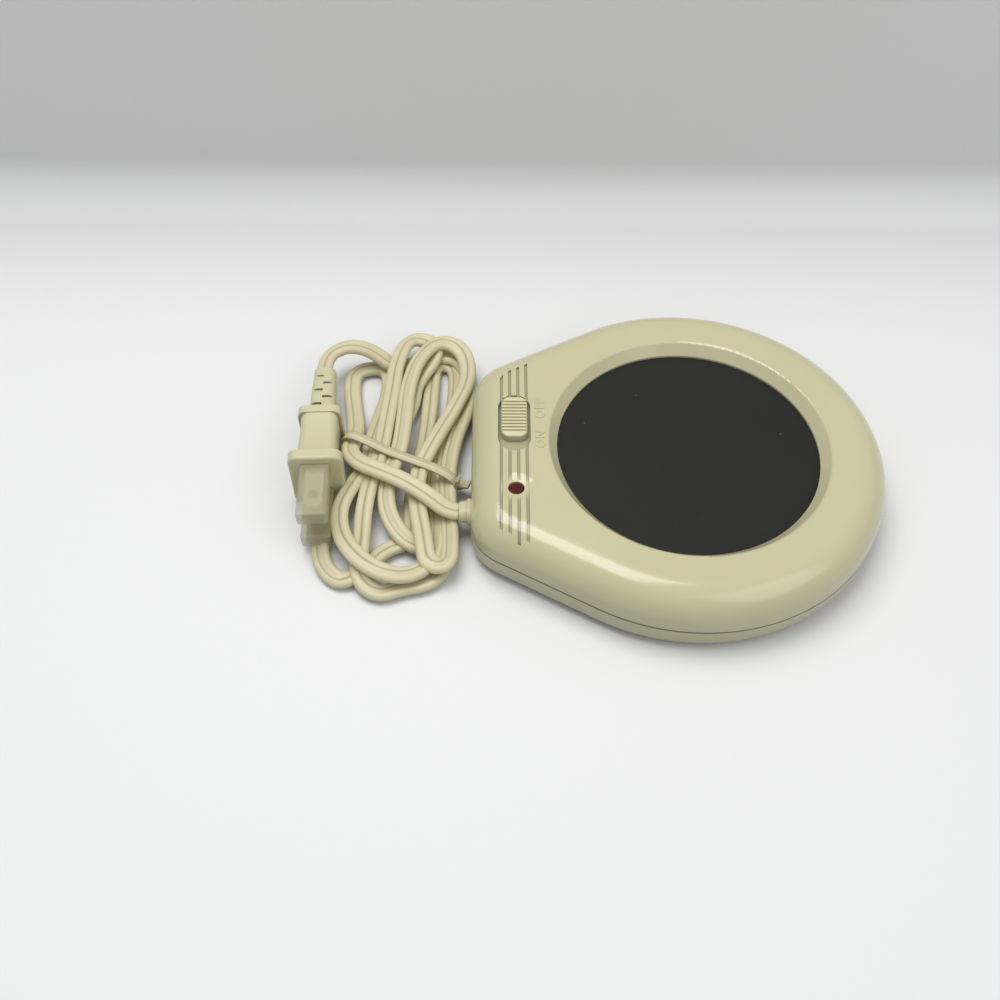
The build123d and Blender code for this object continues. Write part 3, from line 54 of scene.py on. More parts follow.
sheet_half_width = 1.4
wall_foot = 0.147
wall_bend_radius = 0.02
wall_bend_step = 9
wall_height = 0.2
wall_rows = []
for degrees in range(0, 91, wall_bend_step):
    bend = math.radians(degrees)
    wall_rows.append((
        wall_foot + wall_bend_radius * math.sin(bend),
        wall_bend_radius * (1 - math.cos(bend)),
    ))
wall_rows.append((wall_foot + wall_bend_radius, wall_height))
floor_rows = [(-sheet_half_width, 0.0), (sheet_half_width, 0.0)]
stage_pieces = []
for piece_name, piece_rows in (("floor", floor_rows), ("backdrop", wall_rows)):
    sheet_mesh = bpy.data.meshes.new(piece_name)
    sheet_mesh.from_pydata(
        [(side * sheet_half_width, y, z) for y, z in piece_rows for side in (-1, 1)],
        [],
        [(2 * row, 2 * row + 1, 2 * row + 3, 2 * row + 2) for row in range(len(piece_rows) - 1)],
    )
    for face in sheet_mesh.polygons:
        face.use_smooth = True
    sheet = bpy.data.objects.new(piece_name, sheet_mesh)
    bpy.context.scene.collection.objects.link(sheet)
    stage_pieces.append(sheet)

# floor and backdrop are white card: the eye, reflections and clear pieces see it white, and its
# bounce on the object is softer. Its back lets everything through, so it hides nothing from behind
card_bounce_tone = (0.42, 0.42, 0.41, 1)
card_seen_tone = (0.82, 0.82, 0.812, 1)
card_roughness = 0.7
card_white = bpy.data.materials.new("card_white")
card_white.use_nodes = True
card_nodes = card_white.node_tree.nodes
card_link = card_white.node_tree.links.new
card_shader = card_nodes["Principled BSDF"]
card_shader.inputs["Roughness"].default_value = card_roughness
ray = card_nodes.new("ShaderNodeLightPath")
seen = card_nodes.new("ShaderNodeMath")
seen.operation = "MAXIMUM"
seen_through = card_nodes.new("ShaderNodeMath")
seen_through.operation = "MAXIMUM"
card_link(ray.outputs["Is Camera Ray"], seen.inputs[0])
card_link(ray.outputs["Is Glossy Ray"], seen.inputs[1])
card_link(seen.outputs["Value"], seen_through.inputs[0])
card_link(ray.outputs["Is Transmission Ray"], seen_through.inputs[1])
card_tone = card_nodes.new("ShaderNodeMix")
card_tone.data_type = "RGBA"
card_tone.inputs["A"].default_value = card_bounce_tone
card_tone.inputs["B"].default_value = card_seen_tone
card_link(seen_through.outputs["Value"], card_tone.inputs["Factor"])
card_link(card_tone.outputs["Result"], card_shader.inputs["Base Color"])
card_side = card_nodes.new("ShaderNodeNewGeometry")
card_front = card_nodes.new("ShaderNodeMath")
card_front.operation = "SUBTRACT"
card_front.inputs[0].default_value = 1.0
card_link(card_side.outputs["Backfacing"], card_front.inputs[1])
card_link(card_front.outputs["Value"], card_shader.inputs["Alpha"])
for sheet in stage_pieces:
    sheet.data.materials.append(card_white)

lamp_target = Vector((-0.02, 0, 0))
for lamp_name, place, size, watts in (
    ("key_lamp", (-0.25, 0.16, 0.95), 0.6, 5.6),
    ("fill_lamp", (0.60, -0.45, 0.85), 0.8, 2.5),
):
    lamp_data = bpy.data.lights.new(lamp_name, "AREA")
    lamp_data.size = size
    lamp_data.energy = watts
    lamp = bpy.data.objects.new(lamp_name, lamp_data)
    lamp.location = place
    lamp.rotation_euler = (lamp_target - Vector(place)).to_track_quat("-Z", "Y").to_euler()
    bpy.context.scene.collection.objects.link(lamp)
studio = bpy.data.worlds.new("studio")
studio.use_nodes = True
sky = studio.node_tree.nodes["Background"]
sky.inputs["Color"].default_value = (0.96, 0.975, 1.0, 1)
sky.inputs["Strength"].default_value = 0.5
bpy.context.scene.world = studio
bpy.context.scene.view_settings.view_transform = "Standard"

# Cord: one flat two-core vinyl cord, 6.6 mm wide, with a valley between its cores. It leaves the
# collar, crosses the hank and bends down beside it, then runs through four loose turns that the
# tie gathers, and comes out under the upper turns to the plug.
cord_width = 0.0066
cord_thick = 0.0033
# the route's points are in millimetres, a thousand to the scene's metre
metre = 1000
cord_route = [
    (-76.45, -21.0, 10.0), (-80.5, -20.8, 10.2), (-86.5, -16.6, 12.8), (-95.5, -10.4, 13.8),
    (-104.5, -5.8, 13.8), (-112.4, -1.8, 13.2), (-116.4, 4.4, 11.6), (-116.0, 11.6, 9.0),
    (-115.6, 20.4, 5.6), (-117.4, 31.4, 3.2),
    # first turn: round the small far loop and down
    (-119.4, 42.6, 2.6), (-119.4, 54.2, 2.3), (-106.0, 56.6, 2.3), (-104.6, 43.0, 2.6),
    (-107.6, 28.0, 3.6), (-109.8, 13.0, 5.8), (-110.6, 0.0, 8.0),
    # the wide near loop in front and up the right side
    (-115.2, -9.2, 8.4), (-118.4, -19.0, 8.4), (-116.8, -30.0, 8.4), (-110.6, -39.4, 8.6),
    (-101.8, -45.6, 8.4),
    (-91.6, -45.6, 6.4), (-84.0, -37.0, 5.2), (-84.0, -20.0, 3.8),
    # second turn: up the right side, round the inner far loop and down
    (-86.6, -4.0, 3.4), (-85.4, 12.0, 3.4), (-80.8, 26.0, 3.4), (-79.2, 42.0, 2.8),
    (-79.6, 57.4, 2.3), (-88.4, 57.6, 2.3), (-88.8, 45.0, 2.8), (-89.2, 30.0, 3.3),
    (-90.2, 14.0, 3.4),
    # the lowest near loop on the left
    (-93.4, -2.0, 3.4), (-93.2, -16.0, 3.0), (-93.4, -28.6, 2.4), (-101.4, -31.4, 2.3),
    (-107.6, -38.6, 2.3), (-115.6, -46.4, 2.3), (-123.6, -38.0, 2.3), (-124.6, -24.4, 2.6),
    (-121.4, -12.4, 3.0),
    # third turn: up across the hank and round the tallest far loop
    (-113.6, -2.4, 3.2), (-107.4, 8.0, 3.2), (-101.0, 20.0, 3.4), (-95.8, 33.0, 3.8),
    (-95.0, 45.0, 5.0),
    (-87.2, 56.4, 7.0), (-88.8, 65.4, 7.6), (-98.4, 66.0, 8.6),
    # down the left side and round the lowest near loop
    (-102.4, 53.0, 8.8), (-103.2, 38.0, 8.6), (-104.4, 22.0, 8.8), (-105.4, 6.0, 9.4),
    (-108.2, -6.0, 9.0), (-109.9, -18.0, 7.4),
    (-109.8, -31.6, 5.6), (-110.4, -44.2, 4.4), (-103.6, -50.6, 2.4), (-94.8, -47.2, 2.3),
    (-85.6, -45.4, 2.3), (-80.4, -38.4, 2.3), (-84.4, -31.0, 2.6),
    (-93.6, -31.6, 4.8),
    # fourth turn: up the middle and round the widest far loop
    (-101.8, -20.4, 7.0), (-102.6, -6.0, 9.0), (-98.8, 6.0, 9.6), (-97.8, 22.0, 9.2),
    (-97.6, 38.0, 9.2),
    (-94.4, 53.4, 9.6), (-86.4, 63.6, 10.4), (-76.6, 58.8, 10.0), (-73.9, 44.0, 8.8),
    (-79.8, 28.0, 8.4), (-87.4, 10.0, 9.4),
    # down across the hank and round the near loop on the right
    (-92.0, -4.0, 9.4), (-91.2, -18.0, 8.6), (-88.4, -30.6, 8.3), (-86.9, -41.8, 8.2),
    (-79.4, -42.0, 7.4), (-79.4, -30.0, 6.4), (-80.4, -17.0, 6.0),
    # last run: up the right side, under the far loops and over to the plug
    (-81.4, -2.0, 6.2), (-79.6, 14.0, 6.2), (-75.2, 30.0, 5.0), (-73.8, 46.0, 4.8),
    (-77.6, 58.6, 5.2), (-88.4, 60.2, 4.6), (-98.0, 55.8, 3.6),
    (-104.8, 54.6, 5.0), (-109.6, 56.2, 9.0),
    (-115.4, 57.4, 12.0), (-122.4, 57.0, 12.8), (-129.4, 51.4, 12.2), (-129.1, 42.9, 12.0),
]


def plain_mesh(draft):
    """Mesh of a drafted curve or of an object with its modifiers, as it stands in the scene"""
    bpy.context.scene.collection.objects.link(draft)
    bpy.context.view_layer.update()
    finished = draft.evaluated_get(bpy.context.evaluated_depsgraph_get())
    made = bpy.data.meshes.new_from_object(finished)
    bpy.data.objects.remove(draft)
    return made


def show(mesh, name, material, slot_name, *replaced):
    """New piece that stands on the base, takes the given finish and may replace CAD nodes"""
    piece = bpy.data.objects.new(name, mesh)
    bpy.context.scene.collection.objects.link(piece)
    mesh.materials.clear()
    mesh.materials.append(material)
    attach(piece, "base")
    if replaced:
        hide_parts(*replaced)
    return piece


def finish_of(name, light, dark, roughness, grain_size, grain_depth, metallic=0.0, cloud_size=0.03):
    """Moulded or metal finish: colour and gloss drift softly, and a fine grain catches the light"""
    glossiest = 0.6
    dullest = 1.45
    grain_height = 0.0001
    material = bpy.data.materials.new(name)
    material.use_nodes = True
    nodes = material.node_tree.nodes
    link = material.node_tree.links.new
    shader = nodes["Principled BSDF"]
    shader.inputs["Metallic"].default_value = metallic
    place = nodes.new("ShaderNodeTexCoord")
    cloud = nodes.new("ShaderNodeTexNoise")
    cloud.inputs["Scale"].default_value = 1 / cloud_size
    cloud.inputs["Detail"].default_value = 5.0
    link(place.outputs["Object"], cloud.inputs["Vector"])
    shade = nodes.new("ShaderNodeMix")
    shade.data_type = "RGBA"
    shade.inputs["A"].default_value = (*dark, 1)
    shade.inputs["B"].default_value = (*light, 1)
    link(cloud.outputs["Fac"], shade.inputs["Factor"])
    link(shade.outputs["Result"], shader.inputs["Base Color"])
    gloss = nodes.new("ShaderNodeMapRange")
    gloss.inputs["To Min"].default_value = roughness * glossiest
    gloss.inputs["To Max"].default_value = roughness * dullest
    link(cloud.outputs["Fac"], gloss.inputs["Value"])
    link(gloss.outputs["Result"], shader.inputs["Roughness"])
    grain = nodes.new("ShaderNodeTexNoise")
    grain.inputs["Scale"].default_value = 1 / grain_size
    grain.inputs["Detail"].default_value = 2.0
    link(place.outputs["Object"], grain.inputs["Vector"])
    bump = nodes.new("ShaderNodeBump")
    bump.name = "bump"
    bump.inputs["Strength"].default_value = grain_depth
    bump.inputs["Distance"].default_value = grain_height
    link(grain.outputs["Fac"], bump.inputs["Height"])
    link(bump.outputs["Normal"], shader.inputs["Normal"])
    return material


def shader_of(material):
    """The shader of a finish, for what is the same all over it"""
    return material.node_tree.nodes["Principled BSDF"]


def tinted(material, colour, mask_of):
    """Lays a second colour over the finish where mask_of's value, from 0 to 1, says"""
    nodes = material.node_tree.nodes
    link = material.node_tree.links.new
    mask = mask_of(nodes, link)
    over = nodes.new("ShaderNodeMix")
    over.data_type = "RGBA"
    over.inputs["B"].default_value = (*colour, 1)
    base = shader_of(material).inputs["Base Color"]
    link(base.links[0].from_socket, over.inputs["A"])
    link(mask, over.inputs["Factor"])
    link(over.outputs["Result"], base)


def ramp_between(nodes, link, value, low, high, top=1.0):
    """Value mapped from low..high to 0..top and held there"""
    ramp = nodes.new("ShaderNodeMapRange")
    ramp.inputs["From Min"].default_value = low
    ramp.inputs["From Max"].default_value = high
    ramp.inputs["To Max"].default_value = top
    link(value, ramp.inputs["Value"])
    return ramp.outputs["Result"]


def from_nearest_line(nodes, link, value, half_pitch):
    """Distance of a value from the nearest of evenly spaced lines, two half pitches apart"""
    wave = nodes.new("ShaderNodeMath")
    wave.operation = "PINGPONG"
    wave.inputs[1].default_value = half_pitch
    link(value, wave.inputs[0])
    return wave.outputs["Value"]


def uv_across(nodes, link, layer_name):
    """How far across or round a piece a point is, from the piece's own UV map"""
    layer = nodes.new("ShaderNodeUVMap")
    layer.uv_map = layer_name
    parts = nodes.new("ShaderNodeSeparateXYZ")
    link(layer.outputs["UV"], parts.inputs["Vector"])
    return parts.outputs["X"]


route_data = bpy.data.curves.new("cord_route", "CURVE")
route_data.dimensions = "3D"
route_data.resolution_u = 10
route_spline = route_data.splines.new("NURBS")
route_spline.points.add(len(cord_route) - 1)
for point, (x, y, z) in zip(route_spline.points, cord_route):
    point.co = (x / metre, y / metre, z / metre, 1)
route_spline.order_u = 3
route_spline.use_endpoint_u = True
route_mesh = plain_mesh(bpy.data.objects.new("cord_route", route_data))
cord_path = [vertex.co.copy() for vertex in route_mesh.vertices]

# the section: two round cores whose skins meet in a valley, its points listed once round
core_radius = cord_thick / 2
core_shift = cord_width / 2 - core_radius
core_steps = 11
valley_turn = 125
cord_section = []
for side in (1, -1):
    for step in range(core_steps):
        turn = math.radians(-valley_turn + step * 2 * valley_turn / (core_steps - 1))
        turn += 0 if side > 0 else math.pi
        cord_section.append((
            side * core_shift + core_radius * math.cos(turn),
            core_radius * math.sin(turn),
        ))
section_count = len(cord_section)
cord_lean = math.radians(22)
lean_start = 0.09
lean_run = 0.05
upward = Vector((0, 0, 1))
cord_bm = bmesh.new()
cord_uv = cord_bm.loops.layers.uv.new("cord")
rings = []
travels = [0.0]
for index, place in enumerate(cord_path):
    before = cord_path[max(index - 1, 0)]
    after = cord_path[min(index + 1, len(cord_path) - 1)]
    along = (after - before).normalized()
    if index:
        travels.append(travels[-1] + (place - before).length)
    across = along.cross(upward).normalized()
    above = across.cross(along).normalized()
    # the cord tips to one side where it runs along the hank and lies flat round its ends
    lean = cord_lean * along.y * min(1.0, max(0.0, (travels[-1] - lean_start) / lean_run))
    tipped = across * math.cos(lean) + above * math.sin(lean)
    raised = above * math.cos(lean) - across * math.sin(lean)
    rings.append([cord_bm.verts.new(place + tipped * u + raised * v) for u, v in cord_section])
for row in range(len(rings) - 1):
    for column in range(section_count):
        beside = (column + 1) % section_count
        face = cord_bm.faces.new((
            rings[row][column], rings[row][beside], rings[row + 1][beside], rings[row + 1][column],
        ))
        face.smooth = True
        corners = ((column, row), (column + 1, row), (column + 1, row + 1), (column, row + 1))
        for loop, (around, at) in zip(face.loops, corners):
            loop[cord_uv].uv = (around / section_count, travels[at])
cord_bm.faces.new(rings[0])
cord_bm.faces.new(list(reversed(rings[-1])))
bmesh.ops.recalc_face_normals(cord_bm, faces=cord_bm.faces)
cord_mesh = bpy.data.meshes.new("mains_cord")
cord_bm.to_mesh(cord_mesh)
cord_bm.free()
cord_vinyl = finish_of(
    "cord_vinyl",
    light=(0.71, 0.65, 0.425),
    dark=(0.60, 0.54, 0.34),
    roughness=0.42,
    grain_size=0.0009,
    grain_depth=0.12,
    cloud_size=0.012,
)


def valley_shade(nodes, link):
    """Mask of painted shade in the two valleys, read from how far round the section a point is"""
    quarter_round = 0.25
    valley_shade_reach = 0.024
    painted_shade_share = 0.65
    around = uv_across(nodes, link, "cord")
    off_valley = from_nearest_line(nodes, link, around, quarter_round)
    return ramp_between(nodes, link, off_valley, valley_shade_reach, 0.0, painted_shade_share)


# painted shade in the cord's two valleys
tinted(cord_vinyl, colour=(0.24, 0.195, 0.11), mask_of=valley_shade)
mains_cord = show(
    cord_mesh, "mains_cord", cord_vinyl, "cord_vinyl", "cord_lead", "cord_hank", "cord_tail"
)

# Tie: a flat ivory vinyl strip with three fine ribs, drawn once round the hank and the crossing
# cord on a slant. Its two ends stand out on the right, one upwards and one outwards.
tie_origin = Vector((-0.09903, 0.00306, 0))
tie_turn = math.radians(-24)
tie_width = 0.0036
tie_skin = 0.00035
tie_rib = 0.00042
rib_pitch = tie_width / 3
rib_half_width = tie_width / 8
rib_turns = (0, 60, 120, 180)
tie_along = Vector((math.cos(tie_turn), math.sin(tie_turn), 0))
tie_side = Vector((math.sin(tie_turn), -math.cos(tie_turn), 0))
tie_loop = [
    (23.2, 6.0), (21.8, 10.2), (14.6, 12.1), (4.0, 12.0), (-5.0, 12.1), (-13.0, 13.9),
    (-19.6, 14.2), (-22.4, 10.4), (-20.8, 6.0), (-17.0, 2.2), (-12.0, 0.8), (-2.0, 0.7),
    (8.0, 0.7), (18.0, 0.8), (22.8, 2.2),
]
tie_ends = [
    [(22.9, 4.4), (23.8, 6.8), (23.6, 9.4), (24.6, 12.0)],
    [(22.7, 3.6), (24.2, 4.2), (25.6, 5.8), (27.4, 6.4)],
]
tie_end_shifts = (0.0007, -0.0021)


def strip_line(points, closed):
    """Smooth line through the tie's plane, near these points in millimetres"""
    data = bpy.data.curves.new("tie_line", "CURVE")
    data.dimensions = "3D"
    data.resolution_u = 6
    spline = data.splines.new("NURBS")
    spline.points.add(len(points) - 1)
    for point, (u, z) in zip(spline.points, points):
        point.co = (*(tie_origin + tie_along * (u / metre) + upward * (z / metre)), 1)
    spline.order_u = 3
    spline.use_endpoint_u = not closed
    spline.use_cyclic_u = closed
    mesh = plain_mesh(bpy.data.objects.new("tie_line", data))
    return [vertex.co.copy() for vertex in mesh.vertices]


def ribbed_strip(bm, line, closed, shift):
    """Strip along a line in the tie's plane, flat inside and with three ribs outside"""
    layer = bm.loops.layers.uv.get("tie") or bm.loops.layers.uv.new("tie")
    half = tie_width / 2
    profile = [(-half, -tie_skin), (half, -tie_skin), (half, tie_skin)]
    for rib in (1, 0, -1):
        for turn in rib_turns:
            angle = math.radians(turn)
            profile.append((
                rib * rib_pitch + rib_half_width * math.cos(angle),
                tie_skin + tie_rib * math.sin(angle),
            ))
    profile.append((-half, tie_skin))
    rows = []
    count = len(line)
    for index, place in enumerate(line):
        if closed:
            along = line[(index + 1) % count] - line[index - 1]
        else:
            along = line[min(index + 1, count - 1)] - line[max(index - 1, 0)]
        outward = tie_side.cross(along.normalized()).normalized()
        rows.append([
            bm.verts.new(place + tie_side * (across + shift) + outward * lift)
            for across, lift in profile
        ])
    for index in range(count if closed else count - 1):
        low = rows[index]
        high = rows[(index + 1) % count]
        for column in range(len(profile)):
            beside = (column + 1) % len(profile)
            face = bm.faces.new((low[column], low[beside], high[beside], high[column]))
            face.smooth = True
            for loop, corner in zip(face.loops, (column, beside, beside, column)):
                loop[layer].uv = (profile[corner][0] / tie_width + 0.5, index / count)
    if not closed:
        bm.faces.new(rows[0])
        bm.faces.new(list(reversed(rows[-1])))


tie_bm = bmesh.new()
ribbed_strip(tie_bm, strip_line(tie_loop, closed=True), closed=True, shift=0)
for end_points, end_shift in zip(tie_ends, tie_end_shifts):
    ribbed_strip(tie_bm, strip_line(end_points, closed=False), closed=False, shift=end_shift)
bmesh.ops.recalc_face_normals(tie_bm, faces=tie_bm.faces)
tie_mesh = bpy.data.meshes.new("hank_tie")
tie_bm.to_mesh(tie_mesh)
tie_bm.free()
tie_vinyl = finish_of(
    "tie_vinyl",
    light=(0.68, 0.625, 0.41),
    dark=(0.57, 0.515, 0.33),
    roughness=0.4,
    grain_size=0.0007,
    grain_depth=0.08,
)


def between_tie_ribs(nodes, link):
    """Mask of the shade between the three ribs, read from how far across the strip a point is"""
    half_rib_share = 1 / 6
    shade_reach = 0.05
    shade_share = 0.6
    across = uv_across(nodes, link, "tie")
    off_line = from_nearest_line(nodes, link, across, half_rib_share)
    return ramp_between(nodes, link, off_line, shade_reach, 0.0, shade_share)


tinted(tie_vinyl, colour=(0.22, 0.19, 0.11), mask_of=between_tie_ribs)
show(tie_mesh, "hank_tie", tie_vinyl, "tie", "twist_tie")

# Housing: two moulded shells of glossy sage-ivory plastic that meet at a fine shadow line. The
# moulding has a faint orange-peel surface and soft handling marks in its gloss, and painted shade
# darkens its grooves, the sunk places and the housing towards its base.


def dress(material, *node_names):
    """Gives CAD nodes this material"""
    for node_name in node_names:
        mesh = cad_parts[node_name].data
        mesh.materials.clear()
        mesh.materials.append(material)


housing_plastic = finish_of(
    "housing_plastic",
    light=(0.60, 0.565, 0.345),
    dark=(0.56, 0.525, 0.32),
    roughness=0.205,
    grain_size=0.0022,
    grain_depth=0.10,
)
shader_of(housing_plastic).inputs["Coat Weight"].default_value = 0.35
shader_of(housing_plastic).inputs["Coat Roughness"].default_value = 0.1


def object_axes(nodes, link):
    """Place of a point on the part, as its X, Y and Z sockets"""
    place = nodes.new("ShaderNodeTexCoord")
    parts = nodes.new("ShaderNodeSeparateXYZ")
    link(place.outputs["Object"], parts.inputs["Vector"])
    return parts.outputs


def product_of(nodes, link, first, second):
    """Product of two masks"""
    both = nodes.new("ShaderNodeMath")
    both.operation = "MULTIPLY"
    link(first, both.inputs[0])
    link(second, both.inputs[1])
    return both.outputs["Value"]


def low_edge_shade(nodes, link):
    """Mask of painted shade that darkens the housing towards its base"""
    low_shade_top = 0.011
    low_shade_foot = 0.002
    low_shade_share = 0.35
    height = object_axes(nodes, link)["Z"]
    return ramp_between(nodes, link, height, low_shade_top, low_shade_foot, low_shade_share)


# painted shade, darker towards the base of the housing
tinted(housing_plastic, colour=(0.36, 0.33, 0.22), mask_of=low_edge_shade)


def seam_shadow(nodes, link):
    """Mask of the dark line where the two shells meet"""
    seam_height = 0.010
    line_edge = 0.00055
    line_core = 0.0003
    line_share = 0.75
    off_seam = nodes.new("ShaderNodeMath")
    off_seam.operation = "SUBTRACT"
    off_seam.inputs[1].default_value = seam_height
    link(object_axes(nodes, link)["Z"], off_seam.inputs[0])
    distance = nodes.new("ShaderNodeMath")
    distance.operation = "ABSOLUTE"
    link(off_seam.outputs["Value"], distance.inputs[0])
    return ramp_between(nodes, link, distance.outputs["Value"], line_edge, line_core, line_share)


def hollow_shade(nodes, link):
    """Mask of painted shade in hollows: grooves, the switch's recess, the lamp's dish, letter edges
    """
    hollow_reach = 0.0016
    open_share = 0.97
    closed_share = 0.55
    painted_shade_share = 0.75
    hollow = nodes.new("ShaderNodeAmbientOcclusion")
    hollow.samples = 8
    hollow.only_local = True
    hollow.inputs["Distance"].default_value = hollow_reach
    return ramp_between(nodes, link, hollow.outputs["AO"], open_share, closed_share, painted_shade_share)


def recess_shade(nodes, link):
    """Mask of painted shade on the floor of the switch's recess, 2 mm under the cover's top"""
    shade_top = 0.0235
    shade_foot = 0.0225
    shade_share = 0.45
    recess_middle = (-0.0575, 0.0081, 0.0224)
    recess_reach = (0.006, 0.0133, 0.0012)
    axes = object_axes(nodes, link)
    mask = ramp_between(nodes, link, axes["Z"], shade_top, shade_foot, shade_share)
    for axis, middle, reach in zip("XYZ", recess_middle, recess_reach):
        near = nodes.new("ShaderNodeMath")
        near.operation = "COMPARE"
        near.inputs[1].default_value = middle
        near.inputs[2].default_value = reach
        link(axes[axis], near.inputs[0])
        mask = product_of(nodes, link, mask, near.outputs["Value"])
    return mask


# painted shade on the floor of the switch's recess
tinted(housing_plastic, colour=(0.26, 0.235, 0.14), mask_of=recess_shade)
# painted shade in the housing's hollows: grooves, the switch's recess, the lamp's dish, letter
# edges
tinted(housing_plastic, colour=(0.24, 0.215, 0.135), mask_of=hollow_shade)
tinted(housing_plastic, colour=(0.10, 0.09, 0.06), mask_of=seam_shadow)
dress(housing_plastic, "top_shell", "bottom_shell")

# Words beside the knob: OFF and ON in faint raised letters that read up the housing. They are
# moulded with the cover, in its own plastic.
letter_size = 0.0047
letter_height = 0.0002
letter_edge = 0.00005
letter_spread = 1.2
letter_weight = 0.00004
cover_top = 0.024
quarter_turn = Matrix.Rotation(math.pi / 2, 4, "Z")
word_middles = {"OFF": (-0.0483, 0.0146), "ON": (-0.0483, 0.0003)}
for word, middle in word_middles.items():
    letters = bpy.data.curves.new("letters_" + word.lower(), "FONT")
    letters.body = word
    letters.size = letter_size
    letters.extrude = letter_height
    letters.bevel_depth = letter_edge
    letters.align_x = "CENTER"
    letters.align_y = "CENTER"
    letters.space_character = letter_spread
    letters.offset = letter_weight
    letter_mesh = plain_mesh(bpy.data.objects.new("letters_" + word.lower(), letters))
    letter_mesh.transform(Matrix.Translation((*middle, cover_top)) @ quarter_turn)
    show(letter_mesh, "word_" + word.lower(), housing_plastic, "housing")

# Heater plate: pressed sheet with a baked dark coating. The coating has a fine tooth and a few
# pale specks of dust lie on it.
plate_coating = finish_of(
    "plate_coating",
    light=(0.018, 0.0182, 0.0155),
    dark=(0.012, 0.0122, 0.0105),
    roughness=0.55,
    grain_size=0.0004,
    grain_depth=0.35,
)
shader_of(plate_coating).inputs["Specular IOR Level"].default_value = 0.22


def dust_specks(nodes, link):
    """Mask of small specks scattered far apart, in a fifth of the cells of a random pattern"""
    cells_per_metre = 160.0
    bare_share = 0.80
    bare_edge = 0.82
    speck_edge = 0.045
    speck_core = 0.02
    speck_share = 0.6
    place = nodes.new("ShaderNodeTexCoord")
    cells = nodes.new("ShaderNodeTexVoronoi")
    cells.inputs["Scale"].default_value = cells_per_metre
    link(place.outputs["Object"], cells.inputs["Vector"])
    pick = nodes.new("ShaderNodeSeparateColor")
    link(cells.outputs["Color"], pick.inputs["Color"])
    chosen = ramp_between(nodes, link, pick.outputs["Red"], bare_share, bare_edge)
    distance = cells.outputs["Distance"]
    near = ramp_between(nodes, link, distance, speck_edge, speck_core, speck_share)
    return product_of(nodes, link, chosen, near)


tinted(plate_coating, colour=(0.30, 0.30, 0.28), mask_of=dust_specks)
dress(plate_coating, "heater_plate")

# Heater stack under the plate: mica sheets, the element's card and flat ribbon, pressed sheet with
# fine scratches, and the stud with its washer and nut. The same sheet, plated steel and brass make
# the frame and contacts of the switch, the fuse with its clip and the lamp's leads.


def scratched(material, width, depth):
    """Adds long fine scratches to a finish's bump, as stretched noise cut to thin lines"""
    scratch_turn = math.radians(35)
    length_share = 0.012
    height_share = 0.4
    scratch_edge = 0.76
    scratch_floor = 0.72
    scratch_height = 0.00005
    nodes = material.node_tree.nodes
    link = material.node_tree.links.new
    place = nodes.new("ShaderNodeTexCoord")
    stretch = nodes.new("ShaderNodeMapping")
    stretch.inputs["Rotation"].default_value = (0, 0, scratch_turn)
    stretch.inputs["Scale"].default_value = (
        1 / width, length_share / width, height_share / width,
    )
    link(place.outputs["Object"], stretch.inputs["Vector"])
    lines = nodes.new("ShaderNodeTexNoise")
    lines.inputs["Scale"].default_value = 1.0
    lines.inputs["Detail"].default_value = 1.0
    link(stretch.outputs["Vector"], lines.inputs["Vector"])
    cut = ramp_between(nodes, link, lines.outputs["Fac"], scratch_edge, scratch_floor)
    deeper = nodes.new("ShaderNodeBump")
    deeper.inputs["Strength"].default_value = depth
    deeper.inputs["Distance"].default_value = scratch_height
    link(cut, deeper.inputs["Height"])
    link(nodes["bump"].outputs["Normal"], deeper.inputs["Normal"])
    link(deeper.outputs["Normal"], shader_of(material).inputs["Normal"])


mica_sheet = finish_of(
    "mica_sheet",
    light=(0.52, 0.46, 0.33),
    dark=(0.38, 0.33, 0.23),
    roughness=0.5,
    grain_size=0.0024,
    grain_depth=0.4,
    cloud_size=0.006,
)
dress(mica_sheet, "upper_mica", "lower_mica", "element_card")
ribbon_metal = finish_of(
    "ribbon_metal",
    light=(0.34, 0.32, 0.29),
    dark=(0.20, 0.19, 0.175),
    roughness=0.45,
    grain_size=0.0012,
    grain_depth=0.15,
    metallic=1.0,
    cloud_size=0.008,
)
dress(ribbon_metal, "element_ribbon")
sheet_metal = finish_of(
    "sheet_metal",
    light=(0.62, 0.62, 0.63),
    dark=(0.48, 0.48, 0.49),
    roughness=0.36,
    grain_size=0.0014,
    grain_depth=0.15,
    metallic=1.0,
    cloud_size=0.012,
)
scratched(sheet_metal, width=0.0006, depth=0.4)
dress(sheet_metal, "clamp_plate", "heat_shield", "switch_frame")
plated_steel = finish_of(
    "plated_steel",
    light=(0.56, 0.56, 0.57),
    dark=(0.40, 0.40, 0.41),
    roughness=0.36,
    grain_size=0.001,
    grain_depth=0.1,
    metallic=1.0,
    cloud_size=0.006,
)
dress(plated_steel, "plate_stud", "spring_washer", "clamp_nut", "fuse_clip", "lamp_leads")
brass_metal = finish_of(
    "brass_metal",
    light=(0.66, 0.48, 0.20),
    dark=(0.50, 0.35, 0.13),
    roughness=0.32,
    grain_size=0.001,
    grain_depth=0.1,
    metallic=1.0,
    cloud_size=0.006,
)
dress(brass_metal, "thermal_fuse", "slide_contact", "switch_tabs")

# Screws: plated pan heads with a cross recess and a real thread. The case screws go up through
# the base, and smaller ones hold the heat shield, the switch and the cord's bar.


